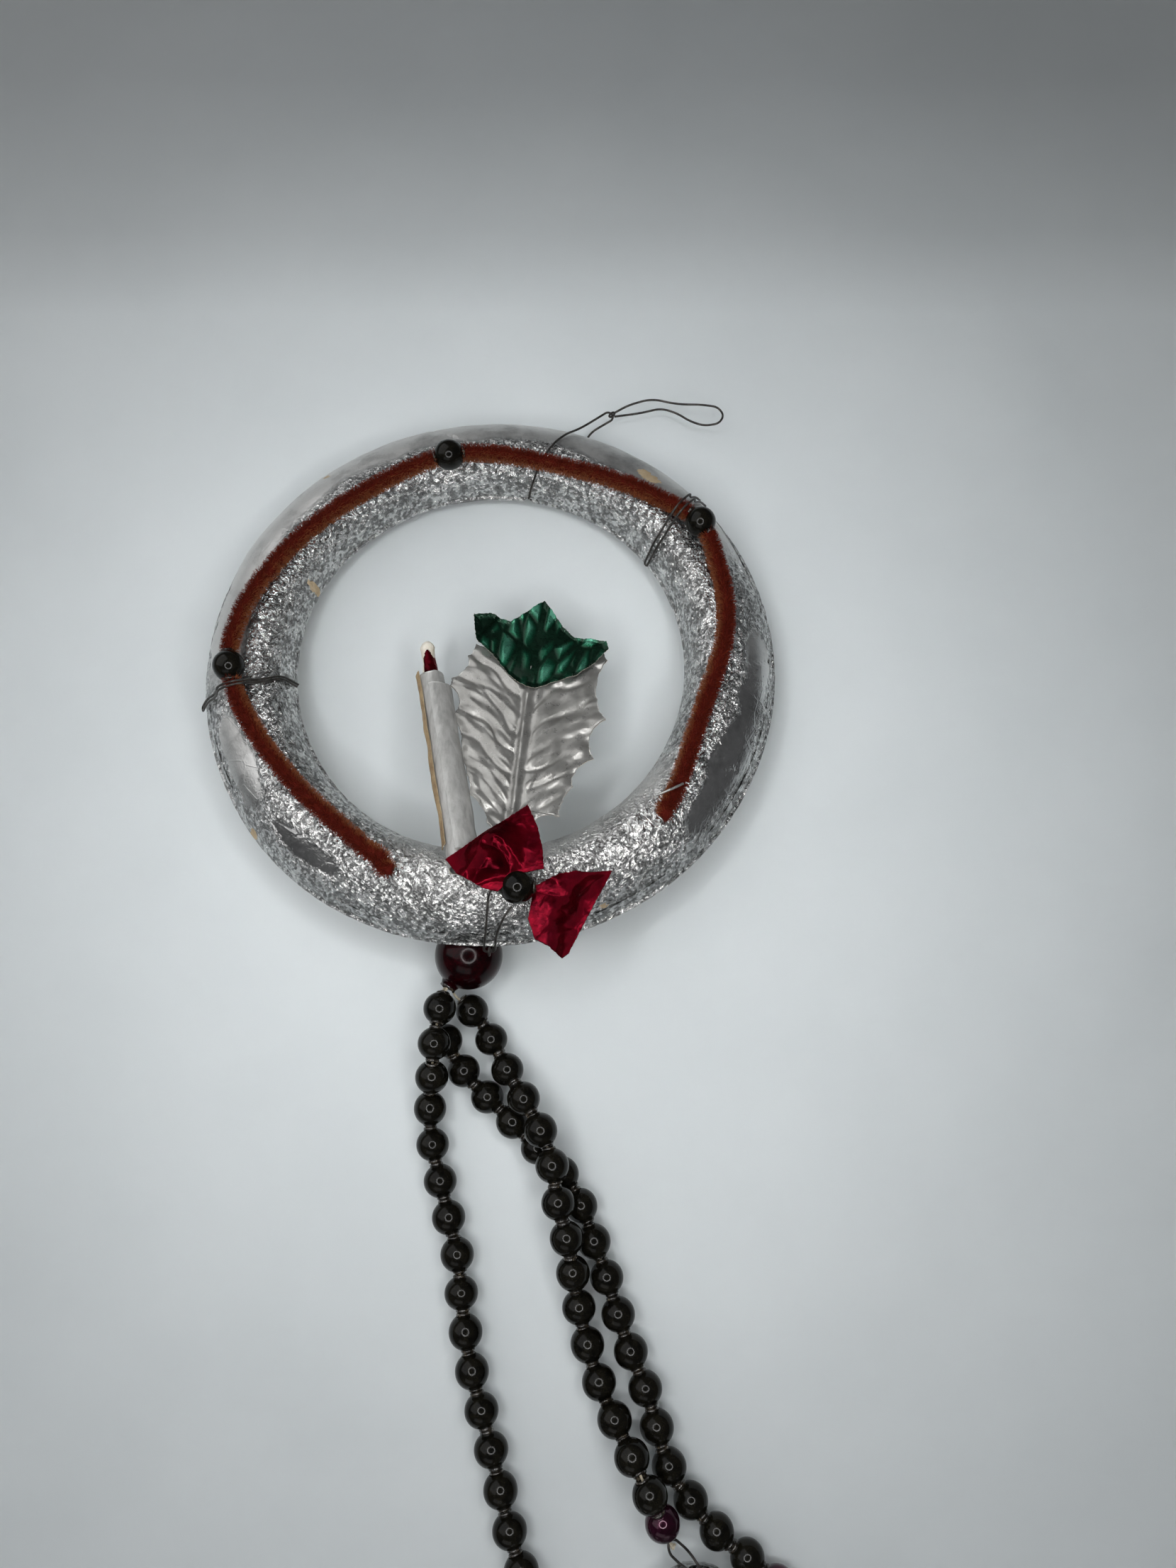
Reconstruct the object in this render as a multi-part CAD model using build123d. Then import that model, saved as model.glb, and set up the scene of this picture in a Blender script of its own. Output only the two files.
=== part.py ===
"""Foil wreath hanging ornament with a candle, a leaf, a bow and three bead strands that end in icicles.

It lies on a table: X to the right, Y away from the strands, Z up, millimetres. The wreath is laid out
in its own frame, rim plane at Z = 0 and centre at the origin, and is then set down with its near rim
on the glass ball of the drop.
"""

from build123d import *
import math
import os

# Wreath ring: a pressed card arch covered in foil
RING_OUTER_R = 76.0
RING_INNER_R = 52.3
CREST_R = 60.5
RING_HEIGHT = 12.5
FOIL_T = 0.25
CARD_T = 1.2
RING_TILT = 6.6
RING_Y = 2.0

# Chenille stem round the ring
PILE_R = 2.4
PILE_BORE_R = 0.55
CORE_R = 0.4
PILE_GAP = 0.7

# Blown glass beads
BEAD_R = 4.1
BEAD_WALL = 0.5
BEAD_BORE_R = 1.2
BEAD_LIP_R = 1.5
BEAD_LIP = 0.1
BEAD_CLEARANCE = 0.25
BEAD_ROOM_R = math.hypot(BEAD_R + BEAD_LIP, BEAD_LIP_R) + BEAD_CLEARANCE

# Wire
WIRE_D = 0.6
EYELET_R = 0.85
WIRE_GAP = 0.45
NOTCH_W = 1.6
NOTCH_H = 2.0

# Candle
CANDLE_R = 3.5
CANDLE_WALL = 0.5
CANDLE_BASE = (-4.0, -60.5, RING_HEIGHT + 4.2)
CANDLE_TOP = (-15.0, -6.6, RING_HEIGHT - 5.2)
BACKING_W = 3.0
BACKING_T = 0.9
FLAP_W = 4.2
FLAP_T = 0.4
FLAME_R = 1.8
FLAME_OUT = 11.5
FLAME_IN = 6.0
FLAME_FOIL_T = 0.2
FLAME_FOIL_L = 8.5
PLUG_L = 5.0

# Leaf
LEAF_T = 0.5
LEAF_TIP_T = 0.35
LEAF_TIP_LIFT = 0.15
LEAF_APEX = (14.4, 15.6, RING_HEIGHT - 7.0)
LEAF_SLOPE = 8.0
STEM_R = 0.6

# Bow
LOBE_T = 1.4
LEFT_LOBE_Z = RING_HEIGHT + 9.3
RIGHT_LOBE_Z = RING_HEIGHT + 2.9
BOW_BEAD = (9.3, -65.4, RING_HEIGHT + 5.8)
BOW_KNOT_R = 2.6
BOW_KNOT_H = 1.0

# Drop: glass ball with a neck
BALL_R = 8.6
BALL_WALL = 0.5
BALL_CENTRE = (-4.4, -75.1, BALL_R)
BALL_AXIS = (-0.54, -0.84, 0.0)
NECK_R = 2.1
NECK_BORE_R = 1.6
NECK_LENGTH = 1.2
POLE_BORE_R = 0.75

# Bead threads
THREAD_D = 0.6
THREAD_OFFSET = 0.85
KNOT_R = 0.95

# Icicles: paper core under foil
ICICLE_R = 11.0
ICICLE_CAP = 7.0
ICICLE_LENGTH = 68.0
ICICLE_TIP_R = 0.8
ICICLE_FOIL_T = 0.3
LOOP_WIDTH = 3.6
LOOP_REACH = 1.4
LOOP_TAIL = 3.0

ARC_SHARE = 0.45
ROUND = 0.5523

ring_lift = RING_OUTER_R * math.sin(math.radians(RING_TILT))
set_down = Location((0, RING_Y, ring_lift), (-RING_TILT, 0, 0))
wire_r = WIRE_D / 2
made = {}


def arch_controls(inset):
    """Control points (radius, height) of the arch's two walls, drawn in by inset."""
    outer, inner, top = RING_OUTER_R - inset, RING_INNER_R + inset, RING_HEIGHT - inset
    flank = [(outer, 0.0), (outer - 1.5, 0.62 * top), (CREST_R + 7.0, top), (CREST_R, top)]
    wall = [(CREST_R, top), (CREST_R - 4.2, top), (inner + 0.3, 0.6 * top), (inner, 0.0)]
    return flank, wall


def curve_point(controls, t):
    """Point and direction of a cubic curve at t."""
    a, b, c, d = [Vector(*p) for p in controls]
    s = 1 - t
    point = a * s**3 + b * (3 * s * s * t) + c * (3 * s * t * t) + d * t**3
    along = (b - a) * (s * s) + (c - b) * (2 * s * t) + (d - c) * (t * t)
    return point, along.normalized()


def above_ring(angle, radius, gap):
    """Point at gap above the foil, over the surface point at this angle (degrees) and radius."""
    flank, wall = arch_controls(0.0)
    controls = flank if radius >= CREST_R else wall
    low, high = 0.0, 1.0
    for _ in range(40):
        middle = (low + high) / 2
        if curve_point(controls, middle)[0].X > radius:
            low = middle
        else:
            high = middle
    point, along = curve_point(controls, low)
    r, z = point.X + along.Y * gap, point.Y - along.X * gap
    turn = math.radians(angle)
    return (r * math.cos(turn), r * math.sin(turn), z)


def polar(angle, radius, z):
    turn = math.radians(angle)
    return (radius * math.cos(turn), radius * math.sin(turn), z)


def soft_path(points, name=None):
    """Straight runs joined by tangent arcs, each as large as its two runs allow."""
    at = [Vector(*p) for p in points]
    radii = []
    for a, b, c in zip(at, at[1:], at[2:]):
        before, after = b - a, c - b
        half_turn = math.radians(before.get_angle(after)) / 2
        radii.append(ARC_SHARE * min(before.length, after.length) / math.tan(half_turn))
    if name:
        print(name, "arc radii", [round(r, 1) for r in radii])
    return FilletPolyline(*points, radius=radii)


def tube(path, radius, bore=0.0):
    ring = Circle(radius) - Circle(bore) if bore else Circle(radius)
    return sweep(Plane(origin=path @ 0, z_dir=path % 0) * ring, path=path)


def wire(points):
    return tube(soft_path(points), wire_r)


def rod(start, end, radius):
    """Round bar from start to end."""
    a, b = Vector(*start), Vector(*end)
    bar = Cylinder(radius, (b - a).length, align=(Align.CENTER, Align.CENTER, Align.MIN))
    return Plane(origin=a, z_dir=b - a).location * bar


def share_near(path, point):
    """Share of the path's length at which it passes nearest to the point."""
    steps = 800
    return min((n / steps for n in range(steps + 1)), key=lambda share: (path @ share - point).length)


def along_axis(centre, direction):
    return Plane(origin=Vector(*centre), z_dir=Vector(*direction)).location


def glass_bead():
    """Hollow bead with a small lip at both ends of its bore, which runs along Z."""
    lips = Cylinder(BEAD_LIP_R, 2 * (BEAD_R + BEAD_LIP))
    return Sphere(BEAD_R) + lips - Sphere(BEAD_R - BEAD_WALL) - Cylinder(BEAD_BORE_R, 4 * BEAD_R)


def keep(name, shape):
    made[name] = shape


def make_ring():
    """Card arch and the foil over it, notched where the hanger wire passes under both rims."""
    def shell(outside, inside):
        flank, wall = arch_controls(outside)
        flank_in, wall_in = arch_controls(inside)
        edges = [Bezier(*[(r, 0, z) for r, z in c]) for c in (flank, wall)]
        edges.append(Line((wall[-1][0], 0, 0), (wall_in[-1][0], 0, 0)))
        edges += [Bezier(*[(r, 0, z) for r, z in reversed(c)]) for c in (wall_in, flank_in)]
        edges.append(Line((flank_in[0][0], 0, 0), (flank[0][0], 0, 0)))
        return revolve(Face(Wire(edges)), Axis.Z, 360)

    notches = []
    for angle, radius in ((HANGER_BACK_ANGLE, RING_OUTER_R), (HANGER_FRONT_ANGLE, RING_INNER_R)):
        turn = Rot(0, 0, angle)
        notches.append(turn * Pos(radius, 0, 0) * Box(6, NOTCH_W, 2 * NOTCH_H))
    keep("ring_card", shell(FOIL_T, FOIL_T + CARD_T) - notches)
    keep("ring_foil", shell(0.0, FOIL_T) - notches)


# Chenille route: angle, surface radius, height of the stem's centre above the foil.
STEM_LIFT = PILE_R + PILE_GAP
BEAD_LIFT = BEAD_R + 0.6
CROSSING_LIFT = STEM_LIFT + 1.3 * WIRE_D
CHENILLE_ROUTE = [
    (-109, 63.4, STEM_LIFT),
    (-121, 60.6, STEM_LIFT),
    (-137, 60.2, STEM_LIFT),
    (-151, 61.3, STEM_LIFT),
    (-164, 63.6, STEM_LIFT),
    (-173.6, 64.8, BEAD_LIFT),
    (-183, 64.9, STEM_LIFT),
    (-192, 63.2, STEM_LIFT),
    (-206, 60.3, STEM_LIFT),
    (-218, 59.0, STEM_LIFT),
    (-231, 58.2, STEM_LIFT),
    (-245, 58.3, STEM_LIFT),
    (-258.2, 58.8, BEAD_LIFT),
    (-271, 58.4, STEM_LIFT),
    (-284, 57.8, CROSSING_LIFT),
    (-297, 58.5, STEM_LIFT),
    (-309, 60.2, STEM_LIFT),
    (-320, 62.9, STEM_LIFT),
    (-328.2, 65.2, BEAD_LIFT),
    (-337, 64.0, STEM_LIFT),
    (-349, 62.8, STEM_LIFT),
    (-361, 60.9, STEM_LIFT),
    (-374, 58.9, STEM_LIFT),
    (-388, 59.3, STEM_LIFT),
    (-399, 61.8, STEM_LIFT),
    (-407.5, 63.9, STEM_LIFT),
]
BEAD_STOPS = {"ring_bead_left": 5, "ring_bead_top": 12, "ring_bead_right": 18}


def make_chenille():
    points = [above_ring(*stop) for stop in CHENILLE_ROUTE]
    path = soft_path(points)
    keep("chenille_core", tube(path, CORE_R))
    pile = tube(path, PILE_R, PILE_BORE_R)
    for name, stop in BEAD_STOPS.items():
        share = share_near(path, Vector(*points[stop]))
        centre, direction = path @ share, path % share
        keep(name, along_axis(centre, direction) * glass_bead())
        pile -= Pos(*centre) * Sphere(BEAD_ROOM_R)
    pieces = sorted(pile.solids(), key=lambda piece: share_near(path, piece.center()))
    for number, piece in enumerate(pieces, 1):
        keep(f"chenille_pile_{number}", piece)


# Tie wires: angle, surface radius and height above the foil along each strand of the hairpins.
OVER_STEM = 2 * PILE_R + 1.1
LEFT_TIE = [
    (-172.0, 54.8, 0.9), (-169.4, 58.8, 1.4), (-168.2, 62.4, OVER_STEM), (-168.2, 66.4, OVER_STEM),
    (-168.8, 69.6, 1.8), (-169.8, 73.6, 0.9),
]
RIGHT_TIE = [
    (40.4, 73.5, 0.9), (39.4, 69.4, 1.8), (38.2, 66.6, OVER_STEM), (37.2, 62.4, OVER_STEM),
    (36.4, 58.8, 1.4), (35.6, 55.0, 0.9),
]


def make_tie_wires():
    """Two wires that hold the stem down, each a hairpin over the arch."""
    def beside(strand, turn):
        return [above_ring(angle + turn, radius, gap) for angle, radius, gap in strand]

    outside = RING_OUTER_R + 1.0
    bend = [polar(-170.7, outside, 1.4), polar(-169.8, outside, 1.4)]
    ends = polar(-173.4, RING_INNER_R - 0.7, 1.5), polar(-172.0, RING_INNER_R - 0.7, 3.0)
    left = [*beside(LEFT_TIE, -0.8), *bend, *reversed(beside(LEFT_TIE, 0.0))]
    keep("left_tie_wire", wire([ends[0], *left, ends[1]]))
    bend = [polar(35.0, RING_INNER_R - 0.8, 2.0), polar(36.2, RING_INNER_R - 0.8, 2.0)]
    ends = polar(39.8, outside, 1.2), polar(41.6, outside, 1.2)
    right = [*beside(RIGHT_TIE, -0.8), *bend, *reversed(beside(RIGHT_TIE, 0.8))]
    keep("right_tie_wire", wire([ends[0], *right, ends[1]]))


# Hanger: the wire round the ring ends in a short pin, and the loop's eyelet turns on that pin.
HANGER_FRONT_ANGLE = 80.0
HANGER_BACK_ANGLE = 70.5
HANGER_PIN = Vector(32.8, 76.4, 6.0)
PIN_DIRECTION = Vector(-0.51, 0.86, 0.0).normalized()
PIN_HALF = 1.5


def make_hanger():
    pin_a = HANGER_PIN + PIN_DIRECTION * PIN_HALF
    pin_b = HANGER_PIN - PIN_DIRECTION * PIN_HALF
    front = [
        polar(HANGER_FRONT_ANGLE, RING_INNER_R + 4.2, 1.9),
        polar(HANGER_FRONT_ANGLE, RING_INNER_R - 0.9, 0.7),
        above_ring(79, 53.4, 0.8),
        above_ring(77.2, 57.2, 1.0),
        above_ring(76, 60.5, 0.8),
        above_ring(74.9, 64.2, 0.8),
        above_ring(73.4, 68.5, 0.9),
        above_ring(71.4, 73.6, 1.9),
    ]
    back = [
        polar(HANGER_BACK_ANGLE - 0.4, RING_OUTER_R + 2.2, 1.6),
        polar(HANGER_BACK_ANGLE, RING_OUTER_R - 2.6, 0.75),
        polar(HANGER_BACK_ANGLE + 1.5, RING_OUTER_R - 7.0, 3.0),
    ]
    keep("hanger_wrap", wire([*front, tuple(pin_a), tuple(pin_b), *back]))
    loop = [
        (33.5, 76.8, 6.3),
        (37.6, 79.0, 6.9),
        (44.2, 81.0, 7.2),
        (51.3, 79.2, 7.0),
        (58.6, 79.4, 6.6),
        (63.2, 78.9, 6.2),
        (64.9, 76.2, 6.0),
        (63.4, 73.6, 5.8),
        (59.2, 72.9, 5.6),
        (55.2, 74.6, 5.4),
        (51.4, 77.6, 5.2),
        (46.9, 79.2, 5.2),
        (41.2, 77.4, 5.4),
        (33.5, 75.9, 5.8),
    ]
    eyelet = along_axis(HANGER_PIN, PIN_DIRECTION) * Torus(EYELET_R, wire_r)
    keep("hanger_loop", wire(loop) + eyelet)


def make_candle():
    base, top = Vector(*CANDLE_BASE), Vector(*CANDLE_TOP)
    up = (top - base).normalized()
    side = Vector(0, 0, 1).cross(up).normalized()
    length = (top - base).length
    frame = Plane(origin=base, x_dir=side, z_dir=up).location
    stand = (Align.CENTER, Align.CENTER, Align.MIN)
    bore = CANDLE_R - CANDLE_WALL
    keep("candle_tube", frame * (Cylinder(CANDLE_R, length, align=stand) - Cylinder(bore, length, align=stand)))
    inner = frame * Pos(0, 0, length)
    backing = Box(BACKING_T, BACKING_W, length - 6, align=(Align.MIN, Align.CENTER, Align.MIN))
    keep("candle_backing", frame * Pos(CANDLE_R + 0.05, -0.8, 7.5) * backing)
    flap = Box(FLAP_W, FLAP_T, length - 12, align=(Align.MAX, Align.MAX, Align.MIN))
    keep("candle_flap", frame * Pos(0, -CANDLE_R - 0.05, 8) * flap)
    plug = Cylinder(bore, PLUG_L) - Cylinder(FLAME_R + FLAME_FOIL_T + 0.1, PLUG_L)
    keep("flame_plug", inner * Pos(0, 0, -PLUG_L / 2 - 0.8) * plug)
    core = Pos(0, 0, -FLAME_IN) * Cylinder(FLAME_R, FLAME_IN + FLAME_OUT - FLAME_R, align=stand)
    core += Pos(0, 0, FLAME_OUT - FLAME_R) * Sphere(FLAME_R)
    keep("candle_flame", inner * core)
    sleeve = Cylinder(FLAME_R + FLAME_FOIL_T, FLAME_FOIL_L) - Cylinder(FLAME_R, FLAME_FOIL_L)
    half = Box(3 * FLAME_R, 4 * FLAME_R, FLAME_FOIL_L, align=(Align.MAX, Align.CENTER, Align.CENTER))
    keep("flame_foil", inner * Pos(0, 0, FLAME_FOIL_L / 2 - 1.5) * (sleeve & half))


# Leaf outlines on the leaf's own plane, measured from its apex: x to the right, y away from the bow.
SILVER_LEAF = [
    (-18.0, -12.5), (-20.0, -16.5), (-19.8, -19.0), (-24.0, -23.0), (-24.2, -25.5), (-21.6, -29.5),
    (-23.4, -34.5), (-20.4, -42.0), (-21.0, -46.0), (-18.6, -51.5), (-17.8, -57.0), (-15.0, -60.0),
    (-13.0, -65.0), (-9.0, -73.0), (-4.5, -73.0), (-0.5, -63.5), (4.6, -63.2), (5.2, -59.5),
    (7.8, -55.0), (8.2, -51.0), (13.1, -47.0), (12.0, -40.5), (16.2, -36.0), (14.0, -29.5),
    (13.9, -25.0), (16.6, -18.0), (16.0, -12.5), (8.0, -13.5), (0.0, -16.0), (-9.0, -13.0),
]
GREEN_TIP = [
    (0.0, 0.0), (-6.6, -5.0), (-8.8, -6.5), (-14.4, -4.8), (-18.7, -5.2), (-17.8, -12.6),
    (-13.3, -17.3), (-9.0, -23.3), (-5.8, -26.2), (-2.3, -27.5), (2.4, -26.0), (8.6, -23.7),
    (13.8, -19.6), (17.0, -15.5), (16.4, -13.2), (8.0, -11.8), (4.8, -8.2),
]


def make_leaf():
    plane = Location(LEAF_APEX, (-LEAF_SLOPE, 0, 0))
    silver = extrude(Face(Polyline(*SILVER_LEAF, close=True).wire()), LEAF_T)
    green = extrude(Face(Polyline(*GREEN_TIP, close=True).wire()), LEAF_TIP_T)
    keep("silver_leaf", plane * silver)
    keep("green_leaf_tip", plane * Pos(0, 0, LEAF_T + LEAF_TIP_LIFT) * green)
    start, end = (-7.0, -66.0, -STEM_R - 0.1), (-3.5, -24.0, -STEM_R - 0.1)
    keep("leaf_stem", plane * rod(start, end, STEM_R))


LEFT_LOBE = [
    (-7.6, -59.3), (11.6, -45.8), (14.0, -51.2), (15.2, -56.2), (15.7, -61.6), (9.3, -63.0),
    (4.9, -67.2), (1.8, -66.5), (-4.6, -63.2),
]
RIGHT_LOBE = [
    (12.8, -64.6), (19.3, -61.2), (23.3, -60.6), (26.2, -61.3), (31.8, -61.5), (27.5, -69.5),
    (24.6, -75.2), (21.4, -81.2), (20.0, -82.2), (16.8, -78.8), (13.4, -77.2), (11.8, -72.2), (12.4, -68.8),
]
RIM_PIN = Vector(1.6, -RING_OUTER_R - 1.4, 0.4)
RIM_PIN_HALF = 1.4


def make_bow():
    bead_room = Pos(*BOW_BEAD) * Sphere(BEAD_ROOM_R)
    for name, outline, z in (("left", LEFT_LOBE, LEFT_LOBE_Z), ("right", RIGHT_LOBE, RIGHT_LOBE_Z)):
        lobe = Pos(0, 0, z) * extrude(Face(Polyline(*outline, close=True).wire()), LOBE_T)
        keep(f"bow_{name}_lobe", lobe - bead_room)
    x, y, z = BOW_BEAD
    keep("bow_bead", Pos(x, y, z) * Rot(0, 90, 0) * glass_bead())
    knot = Pos(x, y, RING_HEIGHT + BOW_KNOT_H / 2 + 0.2) * Cylinder(BOW_KNOT_R, BOW_KNOT_H)
    keep("bow_knot", knot - bead_room)
    left_end = RIM_PIN - Vector(RIM_PIN_HALF, 0, 0)
    right_end = RIM_PIN + Vector(RIM_PIN_HALF, 0, 0)
    route = [
        (x + 2.0, y, z),
        (x - BEAD_R - 1.6, y - 0.1, z - 0.3),
        (2.2, -66.6, RING_HEIGHT + 2.1),
        (1.9, -70.5, RING_HEIGHT + 0.1),
        (1.2, -75.2, RING_HEIGHT - 4.3),
        tuple(left_end),
        tuple(right_end),
        (3.9, -74.6, RING_HEIGHT - 3.9),
        (6.0, -71.0, RING_HEIGHT - 0.5),
        (7.8, -68.9, RING_HEIGHT + 0.7),
    ]
    keep("bow_wire", wire(route))


def make_ball():
    axis = Vector(*BALL_AXIS).normalized()
    frame = along_axis(BALL_CENTRE, axis)
    reach = BALL_R + NECK_LENGTH
    stand = (Align.CENTER, Align.CENTER, Align.MIN)
    ball = Sphere(BALL_R) + Cylinder(NECK_R, reach, align=stand) - Sphere(BALL_R - BALL_WALL)
    ball -= Cylinder(NECK_BORE_R, reach, align=stand)
    ball -= Rot(180, 0, 0) * Cylinder(POLE_BORE_R, 2 * BALL_R, align=stand)
    keep("drop_ball", frame * ball)
    pin = set_down * Pos(*RIM_PIN)
    at = pin.position
    pole = Vector(*BALL_CENTRE) - axis * BALL_R
    route = [
        (at.X + 0.1, at.Y, at.Z - EYELET_R),
        (at.X + 0.8, at.Y + 0.7, at.Z - 2.2),
        (at.X + 1.6, at.Y + 6.5, at.Z - 4.4),
        (at.X + 1.2, at.Y + 9.6, at.Z - 7.8),
        tuple(pole - axis * 1.6),
        tuple(pole + axis * 1.8),
    ]
    eyelet = Pos(at.X, at.Y, at.Z) * Rot(0, 90, 0) * Torus(EYELET_R, wire_r)
    keep("drop_link", wire(route) + eyelet)


# Bead threads, from just outside the ball's neck to the knot. Each point is where the thread passes.
LEFT_ROUTE = [
    (-11.0, -86.8, 10.1), (-11.6, -91.6, 11.8), (-12.0, -96.6, 13.0), (-12.5, -101.4, 11.9),
    (-13.0, -106.6, 8.5), (-13.8, -113.8, 4.6), (-12.8, -122.4, 4.2), (-10.5, -130.8, 4.3), (-8.2, -139.4, 4.2),
    (-5.8, -147.8, 4.3), (-4.8, -156.4, 4.2), (-3.7, -164.6, 4.3), (-2.0, -173.4, 4.2),
    (0.6, -182.2, 4.3), (3.2, -191.0, 4.2), (5.6, -199.8, 4.3), (7.8, -208.4, 4.2),
    (10.6, -216.6, 4.3), (14.0, -224.6, 4.2), (16.8, -231.6, 3.9),
]
MIDDLE_ROUTE = [
    (-3.8, -88.2, 4.4), (0.9, -95.0, 4.3), (4.9, -102.2, 5.6), (9.4, -109.2, 9.4),
    (13.9, -116.4, 11.2), (17.2, -124.2, 12.0), (18.3, -133.0, 11.8), (20.6, -141.4, 10.4),
    (22.2, -150.0, 7.8), (23.6, -158.8, 4.5), (25.6, -167.2, 4.4), (28.3, -175.6, 4.2),
    (32.1, -183.6, 5.2), (35.6, -189.6, 9.2), (38.2, -194.0, 11.8), (41.2, -199.9, 11.4),
    (43.4, -205.4, 7.2), (45.2, -210.6, 4.8),
]
RIGHT_ROUTE = [
    (-12.6, -87.0, 5.6), (-12.1, -91.4, 4.4), (-10.0, -96.8, 4.3), (-5.4, -104.2, 4.2), (0.4, -109.9, 4.2),
    (6.6, -115.6, 4.3), (12.4, -121.6, 4.2), (19.2, -127.6, 4.3), (24.0, -134.9, 4.2),
    (27.0, -143.2, 4.3), (30.3, -151.6, 4.2), (33.0, -160.2, 4.3), (36.0, -168.8, 4.2),
    (39.8, -177.2, 4.3), (42.4, -186.2, 4.2), (45.2, -195.4, 4.3), (51.7, -203.4, 4.2),
    (57.4, -209.4, 4.3), (64.6, -214.4, 4.2), (69.6, -218.4, 4.3), (75.4, -224.2, 3.9),
]
STRANDS = {
    "left": {
        "route": LEFT_ROUTE, "spoke": 90.0, "first": 7.8, "pitch": 8.9, "beads": 16,
        "apex": (21.8, -239.4), "heading": (0.12, -0.99),
    },
    "middle": {
        "route": MIDDLE_ROUTE, "spoke": -30.0, "first": 10.0, "pitch": 8.8, "beads": 15,
        "apex": (51.6, -213.4), "heading": (-0.08, -1.0),
    },
    "right": {
        "route": RIGHT_ROUTE, "spoke": 210.0, "first": 17.3, "pitch": 8.85, "beads": 17,
        "apex": (82.6, -229.8), "heading": (0.1, -0.99),
    },
}


def make_strand(name, strand):
    """Thread with its glass beads, the coloured end bead and the knot below it."""
    axis = Vector(*BALL_AXIS).normalized()
    across = Vector(0, 0, 1).cross(axis)
    spoke = math.radians(strand["spoke"])
    offset = across * (THREAD_OFFSET * math.cos(spoke)) + Vector(0, 0, THREAD_OFFSET * math.sin(spoke))
    centre = Vector(*BALL_CENTRE) + offset
    start, mouth = centre + axis * (BALL_R - 1.2), centre + axis * (BALL_R + NECK_LENGTH + 0.6)
    last = Vector(*strand["route"][-1])
    hook = last + Vector(0.6, -1.2, -2.8)
    points = [tuple(start), tuple(mouth), *strand["route"], tuple(hook)]
    path = soft_path(points, name)
    thread = tube(path, THREAD_D / 2)
    expected = math.pi * (THREAD_D / 2) ** 2 * path.length
    print(name, "length", round(path.length, 1), "volume share", round(thread.volume / expected, 4))
    keep(f"thread_{name}", thread)
    bead = glass_bead()
    spots = [strand["first"] + strand["pitch"] * n for n in range(strand["beads"] + 1)]
    placed = []
    for spot in spots:
        share = spot / path.length
        placed.append(along_axis(path @ share, path % share) * bead)
    keep(f"beads_{name}", Compound(children=placed[:-1]))
    keep(f"end_bead_{name}", placed[-1])
    keep(f"knot_{name}", Pos(*hook) * Sphere(KNOT_R) - thread)
    print(name, "after the end bead", round(path.length - spots[-1], 1))
    return last, hook


def icicle_outline(inset):
    """Half outline (radius, drop below the apex) of the icicle, drawn in by inset."""
    shoulder, cap = ICICLE_R - inset, ICICLE_CAP - inset
    tip_r, tip_z = ICICLE_TIP_R - inset / 2, -(ICICLE_LENGTH - 2 * inset)
    dome = Bezier((0, -inset), (ROUND * shoulder, -inset), (shoulder, ROUND * cap - ICICLE_CAP), (shoulder, -ICICLE_CAP))
    side = Line((shoulder, -ICICLE_CAP), (tip_r, tip_z))
    end = Line((tip_r, tip_z), (0, tip_z))
    spine = Line((0, tip_z), (0, -inset))
    flat = make_face(Curve() + [dome, side, end, spine])
    return revolve(Plane.XZ * flat, Axis.Z, 360)


def make_icicle(name, strand, last):
    dip = math.atan((ICICLE_R - ICICLE_TIP_R) / (ICICLE_LENGTH - ICICLE_CAP))
    shoulder_z = ICICLE_R * math.cos(dip)
    apex = Vector(*strand["apex"], shoulder_z + ICICLE_CAP * math.sin(dip))
    heading = Vector(*strand["heading"], 0).normalized()
    down = (heading * math.cos(dip) - Vector(0, 0, math.sin(dip))).normalized()
    frame = along_axis(apex, down * -1)
    outside = icicle_outline(0.0)
    inside = icicle_outline(ICICLE_FOIL_T)
    hold = last + Vector(0.2, -0.4, -0.9)
    reach = hold - apex
    loop_plane = Plane(origin=apex, x_dir=reach, z_dir=reach.cross(Vector(0, 0, 1)).cross(reach))
    length = reach.length + LOOP_REACH
    half = LOOP_WIDTH / 2
    sides = [(-LOOP_TAIL, 0.5), (0.6, 0.55), (0.45 * length, half), (length - 1.6, half - 0.1)]
    flat = [*sides, (length, 0.0), *[(u, -v) for u, v in reversed(sides)]]
    loop = wire([tuple(loop_plane.from_local_coords((u, v, 0))) for u, v in flat])
    keep(f"icicle_loop_{name}", loop)
    keep(f"icicle_core_{name}", frame * inside - loop)
    keep(f"icicle_foil_{name}", frame * (outside - inside) - loop)
    turn = heading.cross(Vector(0, 0, 1))
    print("hinge", name, [round(v, 2) for v in hold], "axis", [round(v, 4) for v in turn])


make_ring()
make_chenille()
make_tie_wires()
make_hanger()
make_candle()
make_leaf()
make_bow()
for node in made:
    made[node] = set_down * made[node]
make_ball()
for strand_name, strand in STRANDS.items():
    thread_end, _ = make_strand(strand_name, strand)
    make_icicle(strand_name, strand, thread_end)

for label, spot in (("hanger", HANGER_PIN), ("rim", RIM_PIN)):
    print("hinge", label, [round(v, 2) for v in (set_down * Pos(*spot)).position])
os.makedirs("parts", exist_ok=True)
for node, shape in made.items():
    export_step(shape, f"parts/{node}.step")
print(len(made), "nodes")
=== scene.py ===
"""Looks of the foil wreath ornament: crinkled foil ring, chenille stem, glass beads, paper candle,
embossed leaf, crumpled bow, and three bead strands ending in foil icicles. Sizes here are in
millimetres and are turned into metres where a mesh is made."""

import math

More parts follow.
